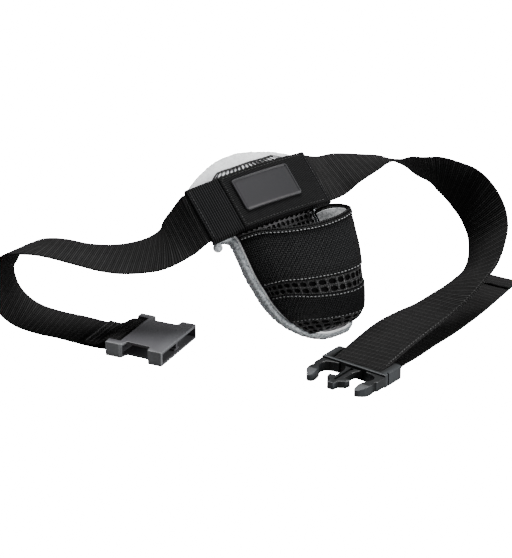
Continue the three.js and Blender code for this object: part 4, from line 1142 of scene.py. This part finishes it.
# %% Net on the crown
CROWN_ROWS = np.array([22.8, 28.0, 31.8, 33.4])


def crown_net():
    """A row of strands between the sleeve and the crown. It slants by its height and waves a little."""
    u = bars(-0.7, 0.88, 17, 1.5 / PAD_HALF)

    def place(share, up):
        left, right = pad_span(up, BINDING_LAP)
        slant = (up - 25) * 0.35
        x = (left + right) / 2 + share * (right - left) / 2 + slant
        return on_pad(x, up + 0.5 * np.sin(share * 60), BINDING_HIGH + 0.7)

    hole = odd_holes(u, CROWN_ROWS)
    return net_piece("crown_net_knit", place, u, CROWN_ROWS, hole, net_cloth, (PAD_HALF, 1))


crown_knit, crown_area = crown_net()

# %% Net on the pad
PAD_NET_FOOT, PAD_NET_TOP, PAD_NET_INSET = -139, 45, 2.5


def pad_net():
    """Net from edge to edge of the pad. Its cells are open above the sleeve and in the pocket. Its strands
    are paler than the pocket's net: painted light against the shade under the sleeve.
    """
    u = bars(-1, 1, 18, 0.9 / PAD_HALF)
    runs = [
        (np.linspace(PAD_NET_FOOT, -106, 6), False), (bars(-104, -24, 15, 0.9), True),
        (np.array([-10, 10]), False), (bars(29, 41, 2, 1.5), True),
    ]
    v = np.r_[tuple(rows for rows, _ in runs) + (PAD_NET_TOP,)]
    opened = []
    for rows, cells in runs:
        row = np.arange(len(rows))
        opened.append((row % 2 == 1) & (row < len(rows) - 1) & cells)
    hole = np.concatenate(opened)[:, None] & (np.arange(len(u) - 1) % 2 == 1)[None, :]

    def place(share, up):
        left, right = pad_span(up, PAD_NET_INSET)
        return on_pad((left + right) / 2 + share * (right - left) / 2, up, NET_HIGH - NET_THICK / 2)

    # Its strands take the paler finish: painted light against the shade under the sleeve.
    return net_piece("pad_net_knit", place, u, v, hole, pad_net_painted_light_cloth, (PAD_HALF, 1))


pad_knit, pad_area = pad_net()
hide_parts("pad_net")

# %% [markdown]
# ## The padded plate
# The foam is a shallow cushion: full in the middle of its back and thin at its edge, with two sewn
# channels down the back. Cloth filled by a simulation would puff up alike on both sides, so the crown
# and the channels are worked out, on the back alone.

# %% Padded plate
CUSHION_FOOT, CUSHION_TOP, CUSHION_INSET, CUSHION_FRONT = -138.2, 45.2, 2.6, -0.05
EDGE_DEPTH, CROWN_DEPTH, CHANNEL_DEPTH, CHANNEL_AT, CHANNEL_WIDTH = 4.5, 4.0, 2.2, 0.42, 0.05


def pad_cushion():
    """Front face flat, back face crowned by a power of the distance from the edge, less the channels."""
    share = np.sin(np.linspace(-np.pi / 2, np.pi / 2, 40))
    up = np.linspace(CUSHION_FOOT, CUSHION_TOP, 90)
    left, right = pad_span(up, CUSHION_INSET)
    x = (left + right)[:, None] / 2 + share[None, :] * (right - left)[:, None] / 2
    along = (up - up[0]) / (up[-1] - up[0])
    crown = (1 - share[None, :] ** 4) * (1 - (2 * along[:, None] - 1) ** 8)
    from_channel = (np.abs(share) - CHANNEL_AT) / CHANNEL_WIDTH
    channel = np.exp(-(from_channel**2))[None, :] * crown**0.5
    back = CHANNEL_DEPTH * channel - EDGE_DEPTH - CROWN_DEPTH * crown
    front = on_pad(x, up[:, None], CUSHION_FRONT)
    behind = on_pad(x, up[:, None], back)
    points = np.concatenate([front, behind[:, ::-1]], 1)
    place = paired(x, up[:, None])
    return points, np.concatenate([place, place[:, ::-1]], 1)


foam_points, foam_places = pad_cushion()
foam = put_skin("pad_cushion", foam_points, foam_cover, foam_places)
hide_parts("pad_foam")

# %% [markdown]
# ## The terry binding
# A pale terry tape is folded over the pad's edge and runs up over the crown as far as the sleeve. Hair
# particles would give its loops but cost much time, so the tape is a ring of two paths, and random
# bumps with a fixed seed push its outer side in and out.

# %% Terry binding
CROWN_FOOT = 25.5
BINDING_CUT, BINDING_BOW, BINDING_WALL, BINDING_INNER, BUMP = 26, 4.2, 1.4, 1.5, 0.22


def binding_surface():
    """A folded tape: an outer path from front to back round the edge, an inner one inside it, and small
    random bumps on the outer side. Above CROWN_FOOT its front reaches in as far as the sleeve."""
    back = -PAD_THICK - GAP - 1.5
    middle = (BINDING_HIGH + back) / 2
    tall = (BINDING_HIGH - back) / 2
    angle = np.linspace(np.pi / 2, -np.pi / 2, 15)
    swing = np.sign(np.sin(angle)) * np.abs(np.sin(angle)) ** 0.8
    bow = np.stack([BINDING_BOW * (1 - np.cos(angle)), middle + tall * swing], 1)
    lap = np.linspace(BINDING_LAP, BINDING_BOW, 4)[:-1]
    front = np.stack([lap, np.full(3, BINDING_HIGH)], 1)
    front[0, 1] -= 0.5
    behind = np.stack([lap[::-1], np.full(3, back)], 1)
    outer = np.vstack([front, bow, behind])
    inner = outer.copy()
    inner[:, 0] = np.maximum(outer[:, 0], BINDING_INNER)
    inner[:, 1] = middle + (outer[:, 1] - middle) * (tall - BINDING_WALL) / tall
    ring = np.vstack([outer, inner[::-1]])
    rough = np.random.default_rng(7).normal(0, BUMP, (len(OUTLINE), len(ring)))
    rough[:, len(outer):] = 0
    rough[:, :2] *= 0.3
    swell = 1 + 0.03 * np.sin(np.arange(len(OUTLINE)) * 0.21)[:, None]
    to_sleeve = (OUTLINE[:, 1:] - CROWN_FOOT) / np.maximum(-INWARD[:, 1:], 0.25)
    crown = np.clip(to_sleeve - BINDING_LAP, 0, 20) * (OUTLINE[:, 1:] > CROWN_FOOT)
    inwards, over = ring[None, :, 0], ring[None, :, 1] - middle
    reach = np.clip((inwards - BINDING_INNER) / (BINDING_LAP - BINDING_INNER), 0, 1) * (over > 0)
    inset = inwards - rough * (np.abs(over) < tall * 0.8) + crown * reach
    height = middle + over * swell + rough * np.sign(over)
    flat = OUTLINE[:, None, :] + INWARD[:, None, :] * inset[..., None]
    points = on_pad(flat[..., 0], flat[..., 1], height)
    along = np.arange(len(OUTLINE))[:, None] * 1.2
    return points, paired(measured(ring)[None, :], along)


binding_points, binding_places = binding_surface()
binding = put_skin(
    "pad_binding_tape", binding_points, terry, binding_places, closed_faces,
)
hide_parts("pad_binding")

# %% [markdown]
# ## The piping
# A smooth pale piping is sewn along the inner edge of the binding, beside the pocket and at the foot. A
# curve with a bevel would do, but its section has to stand on the pad's bent face, so the cord is
# carried along the line with the face's own normals.

# %% Piping along the inner edge of the binding
PIPING_RADIUS = 1.0


def tube(line, normal, radius, sides=8):
    """A round cord of one radius carried along a line, its section set by the line's normals."""
    forward = unit(np.gradient(line, axis=0))
    side = unit(np.cross(normal, forward))
    out = np.cross(forward, side)
    angle = np.arange(sides) * 2 * np.pi / sides
    ring = side[:, None] * np.cos(angle)[:, None] + out[:, None] * np.sin(angle)[:, None]
    return line[:, None] + ring * np.asarray(radius).reshape(-1, 1, 1)


on_left = np.arange(len(OUTLINE)) >= len(OUTLINE) // 2
low_left = np.flatnonzero(on_left & (OUTLINE[:, 1] < -30))
low_right = np.flatnonzero(~on_left & (OUTLINE[:, 1] < -118))
piped = np.r_[low_left, low_right]
piping_across, piping_up = ((OUTLINE + INWARD * (BINDING_LAP + 0.1))[piped]).T
piping_line = on_pad(piping_across, piping_up, BINDING_HIGH + 0.2)
piping_normal = on_pad(piping_across, piping_up, 5.0) - on_pad(piping_across, piping_up, 4.0)
piping_points = tube(piping_line, piping_normal, PIPING_RADIUS)
put_skin(
    "binding_piping", piping_points, piping_finish, np.zeros((*piping_points.shape[:2], 2)),
)

# %% [markdown]
# ## The binding's folded end
# Left of the pocket a small knob of terry peeps out below the sleeve, where the tape's end is folded
# in. A UV sphere would have to be turned to the leaning pad, while this ball of three radii is drawn in
# the pad's own frame from the start.

# %% The binding's end below the sleeve
KNOB_AT, KNOB_RADII = (-58.5, -31.5, 2.0), (4.6, 4.4, 2.6)


def terry_knob(middle, sizes):
    """A ball of three radii: rings whose radius follows the cosine, with both poles zipped shut."""
    around = np.linspace(0, 2 * np.pi, 20, endpoint=False)[None, :]
    up = np.linspace(-1.45, 1.45, 12)[:, None]
    across = np.cos(up) * np.cos(around) * sizes[0]
    height = np.cos(up) * np.sin(around) * sizes[2]
    points = on_pad(middle[0] + across, middle[1] + np.sin(up) * sizes[1] + 0 * around, middle[2] + height)
    return put_skin("binding_end", points, terry, np.zeros((*points.shape[:2], 2)))


terry_knob(KNOB_AT, KNOB_RADII)

# %% [markdown]
# ## The tape on the rim
# A black tape is folded over the pocket's rim. It follows the pocket's surface at a short distance, on
# both of its sides, and takes over the puckers below it, so no gap opens between the two.

# %% Rim tape
RIM_CUT, RIM_LAP, RIM_OVER = 15, 4.2, 0.85


def rim_surface():
    """A folded tape round the rim: down the front, over the edge in a half round, and down inside."""
    radius = POCKET_WALL / 2 + RIM_OVER
    angle = np.linspace(np.pi, 0, 9)
    over = np.stack([0.5 - 0.9 * np.sin(angle) * radius, -radius * np.cos(angle)], 1)[::-1]
    sides = np.linspace(RIM_LAP, 0.5, 5)[:-1]
    outer = np.vstack([
        np.stack([sides, np.full(4, radius)], 1), over, np.stack([sides[::-1], np.full(4, -radius)], 1),
    ])
    inner = np.stack([np.maximum(outer[:, 0], -0.2), outer[:, 1] * 0.55], 1)
    ring = np.vstack([outer, inner[::-1]])
    t = np.linspace(0.03, 0.97, 120)
    down = ring[None, :, 0] / POCKET_LENGTH
    around, below = np.broadcast_arrays(t[:, None], np.maximum(down, 0))
    points = on_pocket(t[:, None], down, ring[None, :, 1] + pucker(around, below))
    return points, paired(measured(ring)[None, :], t[:, None] * POCKET_ROUND)


rim_points, rim_places = rim_surface()
rim = put_skin("pocket_rim_tape", rim_points, tape_cloth, rim_places)
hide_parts("pocket_rim_binding")

# %% [markdown]
# ## The lining
# A pale cloth lines the pocket down to the first net and shows inside the mouth. It is the panel's
# surface again, a little further in.

# %% Lining
LINING_MARGIN, LINING_HALF, LINING_BEHIND = 0.03, 0.45, 0.5


def lining_surface():
    """The pocket's surface less half its wall, with a margin kept free above and below."""
    section = cloth_section(0.03, 0.97, 0.008, 80, 3)
    down = with_ends(LINING_MARGIN, BAND_TOP - LINING_MARGIN, 20, 0.006)
    t, level = np.broadcast_arrays(section[None, :, 0], down[:, None])
    side = np.sign(section[None, :, 1]) * LINING_HALF
    height = -POCKET_WALL / 2 - GAP - LINING_BEHIND + side
    return on_pocket(t, level, height + pucker(t, level)), paired(t * POCKET_ROUND, level * POCKET_LENGTH)


lining_points, lining_places = lining_surface()
lining = put_skin("pocket_lining_cloth", lining_points, lining_cloth, lining_places)
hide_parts("pocket_lining")
lining_flat = laid_out(LINING_MARGIN, BAND_TOP - LINING_MARGIN, widest=0.0)

# %% [markdown]
# ## Stitches
# Rows of pale thread hold the pocket's bands together. Each stitch is a small capsule that lies on the
# cloth. Geometry nodes could copy it along a curve, but the row has to follow the cloth's own puckers,
# so one capsule is carried to an array of places, and all the stitches of one colour are one mesh.

# %% Stitch maker
def capsule():
    """Unit capsule along x: six rings of six points, full in the middle and small at both ends."""
    x = np.array([-1, -0.8, -0.3, 0.3, 0.8, 1.0])[:, None]
    radius = np.array([0.25, 0.75, 1, 1, 0.75, 0.25])[:, None]
    angle = np.arange(6) * np.pi / 3
    rings = np.stack(np.broadcast_arrays(x, radius * np.cos(angle), radius * np.sin(angle)), -1)
    return rings.reshape(-1, 3), strip_faces(6, 6)


def stitch_row(line, normal, pitch=3.3, dash=1.9, radius=0.3):
    """Capsules along a line of points, each turned to the line and to the cloth's normal."""
    along = measured(line)
    count = max(int(along[-1] / pitch), 1)
    middles = (np.arange(count) + 0.5) * along[-1] / count

    def at(values, where):
        return np.stack([np.interp(where, along, values[:, c]) for c in range(3)], 1)

    centre = at(line, middles)
    forward = unit(at(line, middles + dash / 2) - at(line, middles - dash / 2))
    out = unit(at(normal, middles))
    side = unit(np.cross(out, forward))
    shape = capsule()[0][None]
    run = forward[:, None] * shape[..., :1] * dash / 2
    wide = side[:, None] * shape[..., 1:2] * radius
    high = out[:, None] * shape[..., 2:] * radius * 0.7
    return centre[:, None] + run + wide + high


def stitches(name, lines, finish):
    """One mesh of every stitch of one colour."""
    rows = np.concatenate([stitch_row(*line) for line in lines])
    shape, faces = capsule()
    shift = np.arange(len(rows))[:, None, None] * len(shape)
    every = (faces[None] + shift).reshape(-1, 4)
    print(len(rows), "stitches")
    return put_piece(name, rows, every, finish, np.zeros((*rows.shape[:2], 2)))


# %% Stitches of the pocket
def pocket_line(down, low=0.05, high=0.97, height=1.05):
    """A line round the pocket at one level, and the cloth's normals there."""
    t = np.linspace(low, high, 160)
    level = np.full(len(t), down)
    wave = pucker(t, level)
    line = on_pocket(t, level, height + wave)
    return line, unit(line - on_pocket(t, level, wave - 1.0))


RIM_STITCH = 3.1 / POCKET_LENGTH
pocket_lines = [
    pocket_line(RIM_STITCH, height=1.95), pocket_line(BAND_TOP - 0.012),
    pocket_line(BAND_FOOT + 0.012), pocket_line(LOWER_FOOT - 0.014),
]
stitches("pocket_stitches", pocket_lines, thread_finish)

# %% [markdown]
# ## The dark stitches of the sleeve
# The sleeve's hems and the panel are sewn with dark thread, which is seen only where it catches the
# light. The rows are straight lines on the strap's face, a little in from each edge.

# %% Stitches of the sleeve and its panel
def strip_line(place, height, start, end, count=40):
    """A line between two places of a flat layer, and the cloth's normals along it."""
    share = np.linspace(0, 1, count)
    across = start[0] + (end[0] - start[0]) * share
    up = start[1] + (end[1] - start[1]) * share
    line = place(across, up, height)
    return line, unit(place(across, up, height + 1) - line)


hem_at = SLEEVE_END - HEM_WIDTH / 2
edge_at = SLEEVE_HALF - 3.5
hem_high, panel_high = SLEEVE_HIGH + HEM_RISE + 0.25, PANEL_HIGH + 0.1
panel_side = PANEL_END - PANEL_LENGTH + 2
sleeve_lines = [
    strip_line(on_strap, hem_high, (at, -edge_at), (at, edge_at)) for at in (-hem_at, hem_at)
]
for side in (-1, 1):
    low, high = (panel_side, side * edge_at), (PANEL_END - 1.5, side * edge_at)
    sleeve_lines.append(strip_line(on_strap, panel_high, low, high))
sleeve_lines.append(strip_line(on_strap, panel_high, (panel_side, -edge_at), (panel_side, edge_at)))
stitches("sleeve_stitches", sleeve_lines, dark_thread)

# %% [markdown]
# ## Threads of the strap
# The strap's doubled end and its hem are sewn across, and thick ridges lie by the socket's bar. Near
# the plug the selvedge shows a paler thread. All of them are placed by their length along the strap.

# %% Places on the strap
strap_across, strap_out = strap_frame(stations)
strap_along = measured(stations[:, :3])
FACE_HIGH = STRAP_THICK * 0.45


def strap_at(along):
    """Middle, across and out of the strap at lengths along it."""
    return [
        np.stack([np.interp(along, strap_along, values[:, k]) for k in range(3)], -1)
        for values in (stations[:, :3], strap_across, strap_out)
    ]


def strap_line(along):
    """A row across the strap's outer face at one length along it."""
    share = np.linspace(-STRAP_WIDTH / 2 + 3, STRAP_WIDTH / 2 - 3, 30)[:, None]
    middle, across, out = strap_at(along)
    line = middle + across * share + out * (FACE_HIGH + 0.12)
    return line, np.tile(out, (len(line), 1))


def selvedge_line(first, last):
    """A line along the selvedge that lies towards +X, on the strap's upper face."""
    middle, across, out = strap_at(np.arange(first, last, 1.5))
    edge, face = np.sign(across[:, 0].mean()), np.sign(out[:, 2].mean())
    line = middle + across * edge * (STRAP_WIDTH / 2 - 2.2) + out * face * (FACE_HIGH + 0.02)
    return line, out * face


print("the strap's middle is at", strap_at(strap_length / 2)[0].round(1))

# %% Ridges, selvedge thread and stitches of the strap
def ridges(name, lines, radius, finish):
    """Round ridges along lines, half sunk in the cloth, as one mesh."""
    tubes = [tube(line, normal, radius) for line, normal in lines]
    starts = np.cumsum([0] + [t[..., 0].size for t in tubes[:-1]])
    faces = np.vstack([strip_faces(*t.shape[:2]) + at for t, at in zip(tubes, starts)])
    points = np.vstack([t.reshape(-1, 3) for t in tubes])
    return put_piece(name, points, faces, finish, points[:, :2])


RIDGES_AT, RIDGE_RADIUS = (1.2, 6, 11), 0.8
END_ROWS_AT, HEM_ROWS_AT = (3.5, 8.5, 20), (3, 12)
THREAD_FROM, THREAD_TO = 170, 6
ridges("strap_end_ridges", [strap_line(at) for at in RIDGES_AT], RIDGE_RADIUS, dark_thread)
plug_end = strap_along[len(stations) - len(tail) - len(hem) - len(turn_angles) - 1]
selvedge = selvedge_line(plug_end - THREAD_FROM, plug_end - THREAD_TO)
stitches("strap_selvedge_thread", [selvedge], selvedge_finish)
end_rows = [strap_line(at) for at in END_ROWS_AT]
hem_rows = [strap_line(strap_length - at) for at in HEM_ROWS_AT]
stitches("strap_end_stitches", end_rows + hem_rows, dark_thread)

# %% [markdown]
# ## The table
# The belt lies on a plain pale table that is nearly white in the photo. A white surface under this much
# light would throw grey on the black cloth from below, so the table is mid grey to the light, and glows
# white only where the camera looks at it straight.

# %% Table
TABLE_HALF, TABLE_GREY, TABLE_GLOW = 4, 0.2, 24.0
floor_mesh = bpy.data.meshes.new("floor")
table_corners = [(x * TABLE_HALF, y * TABLE_HALF, 0) for x, y in ((-1, -1), (1, -1), (1, 1), (-1, 1))]
floor_mesh.from_pydata(table_corners, [], [(0, 1, 2, 3)])
floor = bpy.data.objects.new("floor", floor_mesh)
bpy.context.scene.collection.objects.link(floor)
floor_finish, floor_tree, floor_shader = started("Pale table")
floor_shader.inputs["Base Color"].default_value = (TABLE_GREY, TABLE_GREY, TABLE_GREY, 1)
floor_shader.inputs["Roughness"].default_value = 0.8
floor_seen = node(floor_tree, "ShaderNodeLightPath").outputs["Is Camera Ray"]
glow = maths(floor_tree, "MULTIPLY", floor_seen, TABLE_GLOW)
floor_tree.links.new(glow, floor_shader.inputs["Emission Strength"])
floor_shader.inputs["Emission Color"].default_value = (1, 1, 1, 1)
floor_mesh.materials.append(floor_finish)
print("table", 2 * TABLE_HALF, "m wide")

# %% [markdown]
# ## Light
# One large soft light hangs over and behind the belt. A strong one stands to its right and a very weak
# one to its left, as the bright edges in the photo ask for. Large rectangles give soft borders, where a
# point or a sun would draw hard ones.

# %% World and lights
SKY = 0.2
world = bpy.data.worlds.new("Studio")
world.use_nodes = True
backdrop = world.node_tree.nodes["Background"]
backdrop.inputs[0].default_value = (1, 1, 1, 1)
backdrop.inputs[1].default_value = SKY
bpy.context.scene.world = world

# Place and size in metres, and power in watts
LIGHTS = {
    "Overhead": ((-0.1, 0.5, 1.8), (1.4, 0.9), 88),
    "Left": ((-1.3, -0.7, 0.9), (0.9, 0.9), 0.7),
    "Right": ((1.6, -0.6, 0.45), (0.5, 0.7), 55),
}
target = (np.array([0, 60, 60]) + ROW_SHIFT) * MM
for name, (at, size, power) in LIGHTS.items():
    lamp = bpy.data.lights.new(name, "AREA")
    lamp.shape = "RECTANGLE"
    lamp.size, lamp.size_y = size
    lamp.energy = power
    holder = bpy.data.objects.new(name, lamp)
    holder.location = at
    holder.rotation_euler = (Vector(target) - Vector(at)).to_track_quat("-Z", "Y").to_euler()
    bpy.context.scene.collection.objects.link(holder)
    print(name, "light", power, "W")

# %% [markdown]
# ## Camera
# The camera stands far away and looks down a little, so the belt shows little perspective. Its focal
# length in pixels was fitted to the photo, and the sensor's side over the picture's larger side turns
# it into millimetres.

# %% Camera
CAMERA_FAR, CAMERA_RISE = 2.2, np.radians(24)
FOCAL_PIXELS, PICTURE_SIDE, SENSOR = 2530, 558, 36
lens = bpy.data.cameras.new("Camera")
lens.lens = SENSOR * FOCAL_PIXELS / PICTURE_SIDE
lens.sensor_width = SENSOR
lens.clip_end = 50
camera = bpy.data.objects.new("Camera", lens)
away = np.array([0, -np.cos(CAMERA_RISE), np.sin(CAMERA_RISE)]) * CAMERA_FAR
camera.location = target + away
camera.rotation_euler = Vector(-away).to_track_quat("-Z", "Y").to_euler()
bpy.context.scene.collection.objects.link(camera)
bpy.context.scene.camera = camera
print("camera", [round(float(x), 3) for x in camera.location], "focal length", round(lens.lens, 1), "mm")
